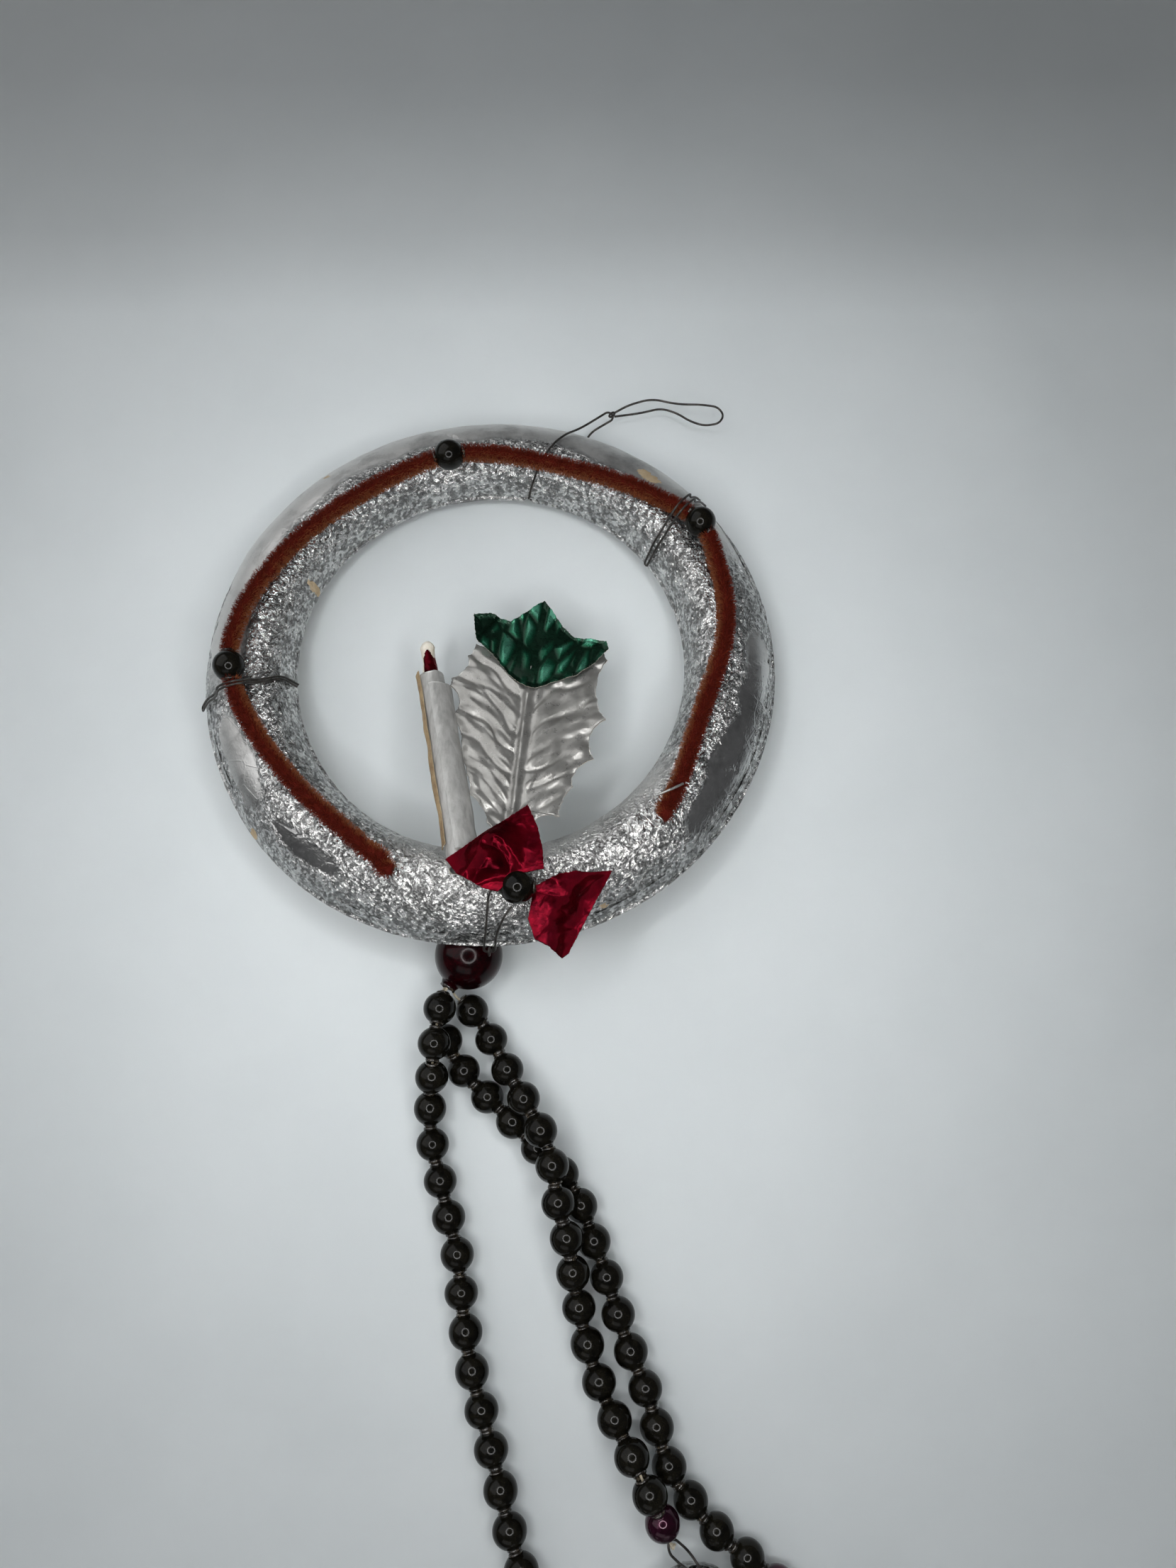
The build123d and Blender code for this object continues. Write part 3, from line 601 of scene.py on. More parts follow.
STRANDS = {
    "left": {
        "route": [
            (-11.0, -86.8, 10.1), (-11.6, -91.6, 11.8), (-12.0, -96.6, 13.0), (-12.5, -101.4, 11.9),
            (-13.0, -106.6, 8.5), (-13.8, -113.8, 4.6), (-12.8, -122.4, 4.2), (-10.5, -130.8, 4.3),
            (-8.2, -139.4, 4.2), (-5.8, -147.8, 4.3), (-4.8, -156.4, 4.2), (-3.7, -164.6, 4.3),
            (-2.0, -173.4, 4.2), (0.6, -182.2, 4.3), (3.2, -191.0, 4.2), (5.6, -199.8, 4.3),
            (7.8, -208.4, 4.2), (10.6, -216.6, 4.3), (14.0, -224.6, 4.2), (16.8, -231.6, 3.9),
        ],
        "spoke": 90.0, "first": 7.8, "pitch": 8.9, "beads": 16, "length": 160.5,
        "apex": (21.8, -239.4), "heading": (0.12, -0.99),
    },
    "middle": {
        "route": [
            (-3.8, -88.2, 4.4), (0.9, -95.0, 4.3), (4.9, -102.2, 5.6), (9.4, -109.2, 9.4),
            (13.9, -116.4, 11.2), (17.2, -124.2, 12.0), (18.3, -133.0, 11.8), (20.6, -141.4, 10.4),
            (22.2, -150.0, 7.8), (23.6, -158.8, 4.5), (25.6, -167.2, 4.4), (28.3, -175.6, 4.2),
            (32.1, -183.6, 5.2), (35.6, -189.6, 9.2), (38.2, -194.0, 11.8), (41.2, -199.9, 11.4),
            (43.4, -205.4, 7.2), (45.2, -210.6, 4.8),
        ],
        "spoke": -30.0, "first": 10.0, "pitch": 8.8, "beads": 15, "length": 151.6,
        "apex": (51.6, -213.4), "heading": (-0.08, -1.0),
    },
    "right": {
        "route": [
            (-12.6, -87.0, 5.6), (-12.1, -91.4, 4.4), (-10.0, -96.8, 4.3), (-5.4, -104.2, 4.2),
            (0.4, -109.9, 4.2), (6.6, -115.6, 4.3), (12.4, -121.6, 4.2), (19.2, -127.6, 4.3),
            (24.0, -134.9, 4.2), (27.0, -143.2, 4.3), (30.3, -151.6, 4.2), (33.0, -160.2, 4.3),
            (36.0, -168.8, 4.2), (39.8, -177.2, 4.3), (42.4, -186.2, 4.2), (45.2, -195.4, 4.3),
            (51.7, -203.4, 4.2), (57.4, -209.4, 4.3), (64.6, -214.4, 4.2), (69.6, -218.4, 4.3),
            (75.4, -224.2, 3.9),
        ],
        "spoke": 210.0, "first": 17.3, "pitch": 8.85, "beads": 17, "length": 178.0,
        "apex": (82.6, -229.8), "heading": (0.1, -0.99),
    },
}


def thread_route(strand):
    """Control points of a thread: inside the ball, out of its neck, along the table, to the knot."""
    across = np.cross([0, 0, 1], BALL_AXIS)
    spoke = math.radians(strand["spoke"])
    centre = BALL_CENTRE + THREAD_OFFSET * (math.cos(spoke) * across + math.sin(spoke) * np.array([0, 0, 1]))
    inside, mouth = centre + BALL_AXIS * (BALL_R - 1.2), centre + BALL_AXIS * (BALL_R + NECK_LENGTH + 0.6)
    last = np.array(strand["route"][-1])
    return np.array([inside, mouth, *strand["route"], last + [0.6, -1.2, -2.8]])


def spline_object(name, points, diameter=0.0):
    """A smooth open curve with these control points, with round thickness if diameter is given."""
    data = bpy.data.curves.new(name, "CURVE")
    data.dimensions = "3D"
    data.resolution_u = 12
    spline = data.splines.new("NURBS")
    spline.points.add(len(points) - 1)
    for spot, point in zip(spline.points, points):
        spot.co = (*(np.asarray(point) * MM), 1.0)
    spline.order_u = 3
    spline.use_endpoint_u = True
    if diameter:
        data.bevel_depth = diameter / 2 * MM
        data.bevel_resolution = 3
        data.use_fill_caps = True
    piece = bpy.data.objects.new(name, data)
    bpy.context.scene.collection.objects.link(piece)
    return piece


def spline_line(points):
    """The line that such a curve follows, in millimetres."""
    guide = spline_object("guide", points)
    bpy.context.view_layer.update()
    mesh = bpy.data.meshes.new_from_object(guide)
    line = np.array([v.co for v in mesh.vertices]) / MM
    bpy.data.meshes.remove(mesh)
    bpy.data.objects.remove(guide)
    return line


AXIS_REACH = 2.5


def at_distance(line, distance):
    """Point and direction on a line of points."""
    steps = np.linalg.norm(np.diff(line, axis=0), axis=1)
    along = np.concatenate([[0], np.cumsum(steps)])
    before, spot, after = [np.array([np.interp(distance + d, along, line[:, k]) for k in range(3)])
                           for d in (-AXIS_REACH, 0, AXIS_REACH)]
    return spot, unit(after - before)


BEAD_SIDES = 36
BEAD_POLE = 0.40


def glass_bead(rng, centre, axis, lip):
    """Blown bead, not quite round, with rough lips round its bore. Returns points, faces and kinds."""
    ball = np.linspace(BEAD_POLE, math.pi - BEAD_POLE, 26)
    stretch = rng.uniform(0.97, 1.03)
    rise = 0.28 * lip
    upper = [(BORE_R, 2.6), (BORE_R - 0.05, 3.75), (BORE_R + 0.10, 4.10 + rise), (LIP_R - 0.05, 4.10 + rise),
             (LIP_R + 0.22, 3.92 + 0.6 * rise), (LIP_R + 0.20, 3.74)]
    body = [(BEAD_R * math.sin(a), BEAD_R * math.cos(a) * stretch) for a in ball]
    lower = [(r, -h) for r, h in reversed(upper)]
    profile = np.array(upper + body + lower)
    turn = full_turn(BEAD_SIDES)
    r = np.repeat(profile[:, :1], BEAD_SIDES, 1)
    h = np.repeat(profile[:, 1:], BEAD_SIDES, 1)
    ragged = sum(rng.uniform(-1, 1) * np.cos(k * turn + rng.uniform(0, 6.3)) for k in (2, 3, 5)) / 3
    on_lip = (np.abs(h) > 3.78) & (r < LIP_R + 0.2) & (r > BORE_R + 0.02)
    r = r + np.where(on_lip, 0.22 * ragged, 0)
    h = h + np.sign(h) * np.where(on_lip, 0.14 * np.roll(ragged, 7), 0)
    side, up = crosswise(axis)
    around = np.cos(turn)[:, None] * side + np.sin(turn)[:, None] * up
    points = np.asarray(centre) + r[..., None] * around + h[..., None] * np.asarray(axis)
    lumps = 0.07 * noise(points + rng.uniform(0, 90), 4.0)[..., None]
    points = points + lumps * np.where(on_lip, 0, 1)[..., None] * unit(points - centre)
    faces = grid_faces(len(profile), BEAD_SIDES, True, True)
    row = faces[:, 0] // BEAD_SIDES
    edge = len(upper)
    is_lip = ((row >= 1) & (row < edge)) | ((row >= edge + len(body) - 1) & (row < len(profile) - 2))
    return points.reshape(-1, 3), faces, is_lip.astype(int)


def add_glass(name, part, glass, slot, body, node):
    """A glass piece with cream lips, from its points, faces and kinds."""
    points, faces, kinds = part
    return add_mesh(name, points, faces, [glass, lip_glass], body, slot, [node], kinds=kinds)


def small_knot(centre, size):
    """An overhand knot in the thread."""
    t = full_turn(60)
    loop = np.stack([np.sin(t) + 2 * np.sin(2 * t), np.cos(t) - 2 * np.cos(2 * t), -np.sin(3 * t)], -1)
    return sweep(np.asarray(centre) + loop * size / 3, size * 0.36, 8, True)


def make_strand(name, strand, seed):
    rng = np.random.default_rng(seed)
    route = thread_route(strand)
    thread = spline_object(f"bead_thread_{name}", route, THREAD_D)
    thread.data.materials.append(cream_cotton)
    settle(thread, "drop", [f"thread_{name}"])
    line = spline_line(route)
    real = np.linalg.norm(np.diff(line, axis=0), axis=1).sum()
    scale = real / strand["length"]
    spots = [(strand["first"] + strand["pitch"] * n) * scale for n in range(strand["beads"] + 1)]
    beads = [glass_bead(rng, *at_distance(line, spot), rng.uniform(0.5, 1.5)) for spot in spots[:-1]]
    strung = add_glass(f"dark_beads_{name}", joined(beads), dark_glass, "dark_glass", "drop", f"beads_{name}")
    last = glass_bead(rng, *at_distance(line, spots[-1]), 1.2)
    coloured = add_glass(f"purple_bead_{name}", last, purple_glass, "purple_glass", "drop", f"end_bead_{name}")
    knot = add_mesh(f"thread_knot_{name}", *small_knot(route[-1], 0.62), [cream_cotton], "drop", "cotton_thread",
                    [f"knot_{name}"])


for number, (name, strand) in enumerate(STRANDS.items()):
    make_strand(name, strand, 11 + number)


# ---------------------------------------------------------------- foil ring

def arch_profile(inset, count):
    """Outline of the arch from the outer rim over the crest to the inner rim, drawn in by inset."""
    outer, inner, top = RING_OUTER_R - inset, RING_INNER_R + inset, RING_HEIGHT - inset
    flank = bezier([(outer, 0), (outer - 1.5, 0.62 * top), (CREST_R + 7, top), (CREST_R, top)], 80)
    wall = bezier([(CREST_R, top), (CREST_R - 4.2, top), (inner + 0.3, 0.6 * top), (inner, 0)], 60)
    return resample(np.concatenate([flank, wall[1:]]), count)


def near_angle(angle, target):
    return (angle - target + 180) % 360 - 180


# Where the hanger wire passes under a rim: angle, radius
WIRE_NOTCHES = ((80.0, RING_INNER_R), (70.5, RING_OUTER_R))
# Torn spots where the card shows: angle, radius, half length round the ring, half width across it
BARE_PATCHES = ((51, 67.6, 3.4, 1.5), (156, 53.2, 1.1, 1.0), (131, 71.0, 1.0, 0.8),
                (-141, 75.8, 1.4, 0.7), (-66, 73.4, 0.9, 0.5))
# Ironed spots on the outer flank: angle, radius, half angle, half width
SMOOTH_PATCHES = ((-26, 69.5, 19, 4.2), (-2, 70.5, 9, 3.4), (-154, 69.3, 13, 3.6),
                  (-130, 69.0, 8, 2.6), (176, 69.5, 8, 2.6))
# Overlaps of the foil: angle and radius of both ends
FOIL_SEAMS = ((-6, 64, 0, 76), (-34, 64, -27, 72), (151, 54, 147, 62), (-70, 54.5, -38, 54.0), (100, 66, 106, 76))


def over_notch(angle, r, z):
    """Heights raised where the hanger wire passes under a rim."""
    for notch, radius in WIRE_NOTCHES:
        off = np.radians(near_angle(angle, notch)) * radius
        bridge = 2.2 * np.exp(-((off / 1.1) ** 4)) * (np.abs(r - radius) < 3.2)
        z = np.maximum(z, np.where(z < 2.2, bridge, 0))
    return z


def segment_distance(x, y, a, b):
    ax, ay, bx, by = *a, *b
    t = np.clip(((x - ax) * (bx - ax) + (y - ay) * (by - ay)) / ((bx - ax) ** 2 + (by - ay) ** 2), 0, 1)
    return np.hypot(x - ax - t * (bx - ax), y - ay - t * (by - ay))


def polar_xy(angle, radius):
    return radius * math.cos(math.radians(angle)), radius * math.sin(math.radians(angle))


def make_ring():
    rng = np.random.default_rng(5)
    columns = 560
    arch = arch_profile(-0.1, 50)
    hem_out = [(74.2, 4.6), (74.35, 2.6), (74.5, 0.7), (74.9, 0.12), (75.7, 0.08), (76.35, 0.35), (76.30, 0.95)]
    hem_in = [(52.0, 0.95), (51.95, 0.35), (52.5, 0.08), (53.3, 0.12), (53.75, 0.7), (53.9, 2.2), (54.1, 3.8)]
    profile = np.concatenate([hem_out, arch[2:-2], hem_in])
    rows = len(profile)
    share = np.zeros(rows)
    share[len(hem_out):rows - len(hem_in)] = 1
    along = np.gradient(profile, axis=0)
    outward = unit(np.stack([along[:, 1], -along[:, 0]], -1)) * -1
    angle = np.linspace(-180, 180, columns, endpoint=False)[None, :] + np.zeros((rows, 1))
    angle = angle + rng.uniform(-0.3, 0.3, angle.shape) * 360 / columns * share[:, None]
    r = profile[:, :1] + np.zeros((1, columns))
    z = profile[:, 1:] + np.zeros((1, columns))
    slide = rng.uniform(-0.22, 0.22, r.shape) * share[:, None]
    tangent = unit(along)
    r, z = r + slide * tangent[:, :1], z + slide * tangent[:, 1:]
    x, y = r * np.cos(np.radians(angle)), r * np.sin(np.radians(angle))
    flat_place = np.stack([x, y, z], -1)
    # Where the foil is crinkled, and where it is a smoother, greyer skin
    inner = smooth(65.5, 63.0, r + 1.5 * noise(flat_place, 7.0, 4))
    from_top = np.abs(near_angle(angle, 105))
    rolled = smooth(RING_OUTER_R - 2.4, RING_OUTER_R - 0.9, r + 0.7 * noise(flat_place, 5.0, 5))
    patchy = smooth(72, 88, from_top)
    for patch_angle, patch_r, half_angle, half_width in SMOOTH_PATCHES:
        reach = np.hypot(near_angle(angle, patch_angle) / half_angle, (r - patch_r) / half_width)
        patchy = patchy * smooth(0.85, 1.10, reach + 0.35 * noise(flat_place, 6.0, 3))
    crinkled = np.clip(inner + rolled + patchy, 0.04, 1)
    facets = 0.55 * noise(flat_place, 2.3, 1) + 0.9 * noise(flat_place, 1.15, 2) + rng.uniform(-0.5, 0.5, r.shape)
    sags = 0.30 * noise(flat_place, 16.0, 6) + 0.10 * noise(flat_place, 5.0, 7)
    crinkles = crinkled * (0.16 * facets + 0.10) * np.clip(share + 0.5, 0, 1)[:, None]
    proud = 0.02 + crinkles + sags * share[:, None]
    for from_angle, from_r, to_angle, to_r in FOIL_SEAMS:
        gap = segment_distance(x, y, polar_xy(from_angle, from_r), polar_xy(to_angle, to_r))
        proud = proud + 0.32 * np.clip(1 - gap / 0.9, 0, 1) * share[:, None]
    proud = np.maximum(proud, -0.20 * share[:, None])
    r, z = r + outward[:, :1] * proud, z + outward[:, 1:] * proud
    shape = 0.35 * noise(on_plane(x, y) * 0.7 / np.maximum(r, 1)[..., None] * 60, 21.0, 8)
    r = r + shape
    z = np.maximum(over_notch(angle, r, z), 0.05)
    points = round_axis(r, np.radians(angle), z).reshape(-1, 3)
    faces = into_triangles(grid_faces(rows, columns, False, True), rng)
    ironed = np.clip(1 - crinkled, 0, 1)
    pearly = smooth(60.5, 56.0, r) * smooth(48, 30, np.abs(near_angle(angle, -72)))
    worn = ironed * smooth(120, 92, from_top) + 0.9 * pearly
    dull = np.clip(worn + 0.10 * noise(flat_place, 6.0, 9), 0, 1)
    centre = points[faces].mean(1)
    torn = np.zeros(len(faces), int)
    for patch_angle, patch_r, long_half, short_half in BARE_PATCHES:
        px, py = polar_xy(patch_angle, patch_r)
        turn = math.radians(patch_angle)
        out = (centre[:, 0] - px) * math.cos(turn) + (centre[:, 1] - py) * math.sin(turn)
        side = -(centre[:, 0] - px) * math.sin(turn) + (centre[:, 1] - py) * math.cos(turn)
        edge = 1 + 0.35 * noise(centre, 1.5, 12)
        torn[(np.hypot(side / long_half, out / short_half) < edge) & (centre[:, 2] > 0.8)] = 1
    add_mesh("crinkled_foil_ring", set_down(points), faces, [silver_foil, tan_card], "wreath", "silver_foil",
             ["ring_foil"], flat=True, kinds=torn, values={"dull": dull.ravel(), "smooth": ironed.ravel()})


def make_card():
    """Pressed card arch inside the foil."""
    columns = 240
    outside, inside = arch_profile(CARD_INSET, 30), arch_profile(CARD_INSET + CARD_T, 30)[::-1]
    profile = np.concatenate([outside, inside])
    profile[:, 1] = np.maximum(profile[:, 1], 0.25)
    angle = np.linspace(-180, 180, columns, endpoint=False)[None, :]
    r, z = profile[:, :1] + 0 * angle, profile[:, 1:] + 0 * angle
    place = round_axis(r, np.radians(angle), z)
    sag = np.minimum(0.12 * noise(place, 12.0, 31), 0) * smooth(1, 3, z)
    sag[:len(outside)] = 0
    z = over_notch(angle, r, z) + sag
    points = round_axis(r, np.radians(angle), z).reshape(-1, 3)
    faces = grid_faces(len(profile), columns, True, True)
    add_mesh("card_arch", set_down(points), faces, [grey_card], "wreath", "grey_card", ["ring_card"])


make_ring()
make_card()


# ---------------------------------------------------------------- chenille stem and its beads

STEM_START, STEM_END = -109.0, -407.5
FIBRES_PER_MM = 150


def stem_line():
    """Middle line of the chenille's core, from the angle of its first end round to the last."""
    core = lift_up(np.array([v.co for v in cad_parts["chenille_core"].data.vertices]) / MM)
    angle = np.degrees(np.arctan2(core[:, 1], core[:, 0]))
    angle = np.where(angle > STEM_START + 6, angle - 360, angle)
    radius = np.hypot(core[:, 0], core[:, 1])
    line = []
    for spot in np.arange(STEM_START, STEM_END, -0.5):
        near = np.exp(-(((angle - spot) / 1.4) ** 2))
        r, z = (near * radius).sum() / near.sum(), (near * core[:, 2]).sum() / near.sum()
        line.append((*polar_xy(spot, r), z))
    return np.array(line)


def make_stem():
    rng = np.random.default_rng(21)
    line = resample(stem_line(), 900)
    steps = np.linalg.norm(np.diff(line, axis=0), axis=1).sum()
    beads = {}
    for name in ("ring_bead_left", "ring_bead_top", "ring_bead_right"):
        low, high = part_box(name)
        centre = lift_up(np.array(low + high) / 2 / MM)
        near = np.argmin(np.linalg.norm(line - centre, axis=1))
        beads[name] = (centre, unit(line[near + 8] - line[near - 8]))
    points, faces = capped(*sweep(line, 1.5, 10), 10)
    inside = np.stack([np.linalg.norm(points - c, axis=1) for c, _ in beads.values()]).min(0)
    faces = [f for f in faces if min(inside[k] for k in f) > BEAD_R - 0.4]
    count = int(steps * FIBRES_PER_MM)
    spot = rng.uniform(0, len(line) - 1, count)
    low = np.floor(spot).astype(int).clip(0, len(line) - 2)
    root = line[low] + (line[low + 1] - line[low]) * (spot - low)[:, None]
    along = unit(line[low + 1] - line[low])
    side, up = crosswise(along)
    phi = rng.uniform(0, 2 * math.pi, count)
    out = np.cos(phi)[:, None] * side + np.sin(phi)[:, None] * up
    lean = rng.normal(0, 0.30, (count, 1))
    ends = np.minimum(spot, len(line) - 1 - spot) / len(line) * steps
    rounded = np.where(ends < 1.6, np.sqrt(np.clip(ends / 1.6, 0.25, 1)), 1)
    reach = (PILE_R * rng.uniform(0.92, 1.18, count) * rounded)[:, None]
    clear = np.stack([np.linalg.norm(root + out * reach - c, axis=1) for c, _ in beads.values()]).min(0)
    keep = clear > BEAD_R + 0.35
    root, along, out, lean, reach = root[keep], along[keep], out[keep], lean[keep], reach[keep]
    count = keep.sum()
    tip = root + out * reach + along * lean * reach
    bend = root + out * reach * 0.55 + along * lean * reach * 0.3 + rng.normal(0, 0.10, (count, 3))
    wide = unit(np.cross(out, rng.normal(0, 1, (count, 3)))) * rng.uniform(0.045, 0.075, (count, 1))
    base = root + out * 0.5
    strand = np.stack([base - wide, base + wide, bend - wide, bend + wide, tip - wide * 0.7, tip + wide * 0.7], 1)
    first = np.arange(count)[:, None] * 6
    quads = np.concatenate([first + [0, 1, 3, 2], first + [2, 3, 5, 4]])
    inward = unit(np.stack([-root[:, 0], -root[:, 1], 0 * root[:, 0]], -1))
    # Painted shade along each fibre, darkest at its root; fibres pointing in towards the ring's middle are
    # lighter.
    root_shade_and_tone = 0.28 + 0.42 * smooth(-0.1, 0.9, (out * inward).sum(1)) + rng.normal(0, 0.07, count)
    root_shade_and_tone = np.repeat(root_shade_and_tone[:, None], 6, 1) - np.array([0.3, 0.3, 0.1, 0.1, 0, 0])
    cores, pile = len(points), strand.reshape(-1, 3)
    # The core gets 0, the darkest red: painted shade under the pile.
    values = {"root_shade_and_tone": np.concatenate([np.full(cores, 0.0), root_shade_and_tone.ravel()])}
    add_mesh("chenille_stem", set_down(np.concatenate([points, pile])), faces + (quads + cores).tolist(),
             [red_pile], "wreath", "red_chenille",
             ["chenille_core", *[f"chenille_pile_{n}" for n in (1, 2, 3, 4)]], values=values)
    for name, (centre, axis) in beads.items():
        ends = set_down(np.array([centre, centre + axis]))
        bead = glass_bead(rng, ends[0], unit(ends[1] - ends[0]), 1.3)
        add_glass(f"glass_{name}", bead, dark_glass, "dark_glass", "wreath", name)


def make_scrap():
    """Pale curl of foil lying over the stem near its last end."""
    low = np.array(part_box("chenille_pile_4")[0]) / MM
    start = np.array([low[0] + 1.4, low[1] + 6.6, 0])
    line = bezier([start, start + [1.8, 0.6, 1.0], start + [3.8, 1.4, 1.0], start + [6.2, 3.0, -0.8]], 40)
    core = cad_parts["chenille_core"].data.vertices
    spots = np.array([v.co for v in core]) / MM
    nearest = spots[np.argmin(np.linalg.norm(spots[:, None, :2] - line[None, :, :2], axis=2), axis=0)]
    line[:, 2] = line[:, 2] + nearest[:, 2].mean() + PILE_R + 0.25
    points, faces = capped(*sweep(line, 0.30, 8), 8)
    points = points + 0.06 * noise(points, 0.8, 23)[:, None]
    add_mesh("pale_foil_scrap", points, faces, [pearly_paper], "wreath", "silver_paper")


make_stem()
make_scrap()


# ---------------------------------------------------------------- candle and flame

def candle_frame():
    up = unit(CANDLE_TOP - CANDLE_BASE)
    side = unit(np.cross([0, 0, 1], up))
    return up, side, np.cross(up, side), float(np.linalg.norm(CANDLE_TOP - CANDLE_BASE))


def sheet_solid(top, bottom, rows, columns):
    """Closed sheet from two grids of points, with its edge faces last. Returns points, faces, kinds."""
    faces = grid_faces(rows, columns)
    under = faces[:, ::-1] + rows * columns
    border = [*range(columns), *range(2 * columns - 1, rows * columns, columns),
              *range(rows * columns - 2, (rows - 1) * columns - 1, -1), *range((rows - 2) * columns, 0, -columns)]
    rim = [[a, b, b + rows * columns, a + rows * columns] for a, b in zip(border, border[1:] + border[:1])]
    kinds = [0] * len(faces) + [0] * len(under) + [1] * len(rim)
    points = np.concatenate([top.reshape(-1, 3), bottom.reshape(-1, 3)])
    return points, np.concatenate([faces, under, rim]), kinds


def make_candle():
    up, side, front, length = candle_frame()

    def rolled(turns, start, outer, near, far, paper, seed, dents):
        """A sheet rolled round the candle's axis, from the outer radius inwards."""
        rows, columns = 90, 110
        s = np.linspace(near, far, rows)[:, None]
        turn = start + np.linspace(0, 2 * math.pi * turns, columns)[None, :]
        r = outer - 0.30 * (turn - start) / (2 * math.pi) + 0 * s
        spot = round_axis(r, turn, s)
        r = r + dents * noise(spot, 5.0, seed) + 0.4 * dents * noise(spot, 1.9, seed + 1)
        s = s + 0.25 * noise(spot * [1, 1, 0.0], 1.6, seed + 2)
        layers = []
        for thick in (0, paper):
            across = (r - thick) * np.cos(turn)
            over = (r - thick) * np.sin(turn)
            layers.append(CANDLE_BASE + across[..., None] * side + over[..., None] * -front + s[..., None] * up)
        return sheet_solid(layers[0], layers[1], rows, columns)

    points, faces, kinds = rolled(1.22, 0.4, CANDLE_R, 0.0, length, 0.14, 41, 0.20)
    add_mesh("rolled_paper_candle", set_down(points), faces, [silver_paper, cream_paper], "wreath", "silver_paper",
             ["candle_tube"], kinds=kinds)
    points, faces, kinds = rolled(0.40, 2.35, CANDLE_R + 1.25, 3.0, length - 4.6, 0.14, 51, 0.18)
    add_mesh("second_paper_layer", set_down(points), faces, [silver_paper, cream_paper], "wreath", "silver_paper",
             ["candle_flap"], kinds=kinds)
    points, faces, kinds = rolled(0.13, -0.75, CANDLE_R + 0.45, 6.0, length + 0.9, 0.30, 61, 0.26)
    add_mesh("raw_card_strip", set_down(points), faces, [brown_card, tan_card], "wreath", "brown_card",
             ["candle_backing"], kinds=kinds)


def make_flame():
    """Rolled cotton paper tip, wrapped on one side with red foil, packed into the candle's mouth."""
    rng = np.random.default_rng(8)
    up, side, front, length = candle_frame()
    sides, rows = 40, 44
    h = np.linspace(-6, FLAME_OUT, rows)
    shape = FLAME_R * np.sqrt(np.clip((FLAME_OUT + 0.05 - h) / 2.0, 0, 1)) * (0.92 + 0.08 * np.cos(h * 0.55))
    turn = full_turn(sides)
    r = np.minimum(shape, FLAME_R)[:, None] + 0 * turn[None, :]
    local = round_axis(r, turn, h[:, None])
    r = r + 0.16 * noise(local, 2.2, 71) + 0.06 * noise(local, 0.8, 72)
    lean = 0.30 * smooth(0, FLAME_OUT, h)[:, None]
    base = CANDLE_BASE + up * length

    def stand(radius, level, lean=0.0):
        across, over = radius * np.cos(turn) - lean, radius * np.sin(turn)
        return base + across[..., None] * side - over[..., None] * front + level[..., None] * up

    level = h[:, None] + 0 * r
    quads = grid_faces(rows, sides, False, True)
    points, faces = capped(stand(r, level, lean).reshape(-1, 3), quads, sides)
    add_mesh("paper_flame", set_down(points), faces, [cream_paper], "wreath", "cream_paper", ["candle_flame"])
    wrap = (np.cos(turn - 4.1) > 0.10)[None, :] & ((h > -1.2)[:, None] & (level < 7.0 + 1.3 * np.sin(turn * 3)))
    outer = stand(r + 0.14 + 0.10 * noise(local, 0.9, 73), level, lean).reshape(-1, 3)
    chosen = quads[wrap.ravel()[quads].all(1)]
    points = np.concatenate([outer, stand(r + 0.02, level, lean).reshape(-1, 3)])
    faces = into_triangles(np.concatenate([chosen, chosen[:, ::-1] + len(outer)]), rng)
    add_mesh("red_flame_foil", set_down(points), faces, [crimson_foil], "wreath", "red_foil", ["flame_foil"],
             flat=True)
    inner = CANDLE_R - 0.62
    rows = 14
    level = np.linspace(-6.0, -0.9, rows)[:, None] + 0 * turn[None, :]
    ring = inner - 0.1 + 0.10 * noise(round_axis(inner + 0 * level, turn, level), 1.2, 74)
    packed = np.concatenate([stand(ring, level), stand(0 * ring + FLAME_R + 0.3, level[::-1])])
    faces = grid_faces(2 * rows, sides, True, True)
    add_mesh("flame_packing", set_down(packed.reshape(-1, 3)), faces, [cream_paper], "wreath", "cream_paper",
             ["flame_plug"])


make_candle()
make_flame()


# ---------------------------------------------------------------- leaf

SILVER_LEAF = [
    (-18.0, -12.5), (-20.0, -16.5), (-19.8, -19.0), (-24.0, -23.0), (-24.2, -25.5), (-21.6, -29.5),
    (-23.4, -34.5), (-20.4, -42.0), (-21.0, -46.0), (-18.6, -51.5), (-17.8, -57.0), (-15.0, -60.0),
    (-13.0, -65.0), (-9.0, -73.0), (-4.5, -73.0), (-0.5, -63.5), (4.6, -63.2), (5.2, -59.5),
    (7.8, -55.0), (8.2, -51.0), (13.1, -47.0), (12.0, -40.5), (16.2, -36.0), (14.0, -29.5),
    (13.9, -25.0), (16.6, -18.0), (16.0, -12.5), (8.0, -13.5), (0.0, -16.0), (-9.0, -13.0),
]
GREEN_TIP = [
    (0.0, 0.0), (-6.6, -5.0), (-8.8, -6.5), (-14.4, -4.8), (-18.7, -5.2), (-17.8, -12.6),
    (-13.3, -17.3), (-9.0, -23.3), (-5.8, -26.2), (-2.3, -27.5), (2.4, -26.0), (8.6, -23.7),
    (13.8, -19.6), (17.0, -15.5), (16.4, -13.2), (8.0, -11.8), (4.8, -8.2),
]
MIDRIB = ((-7.0, -66.0), (-3.5, -24.0))
VEIN_PITCH = 9.5


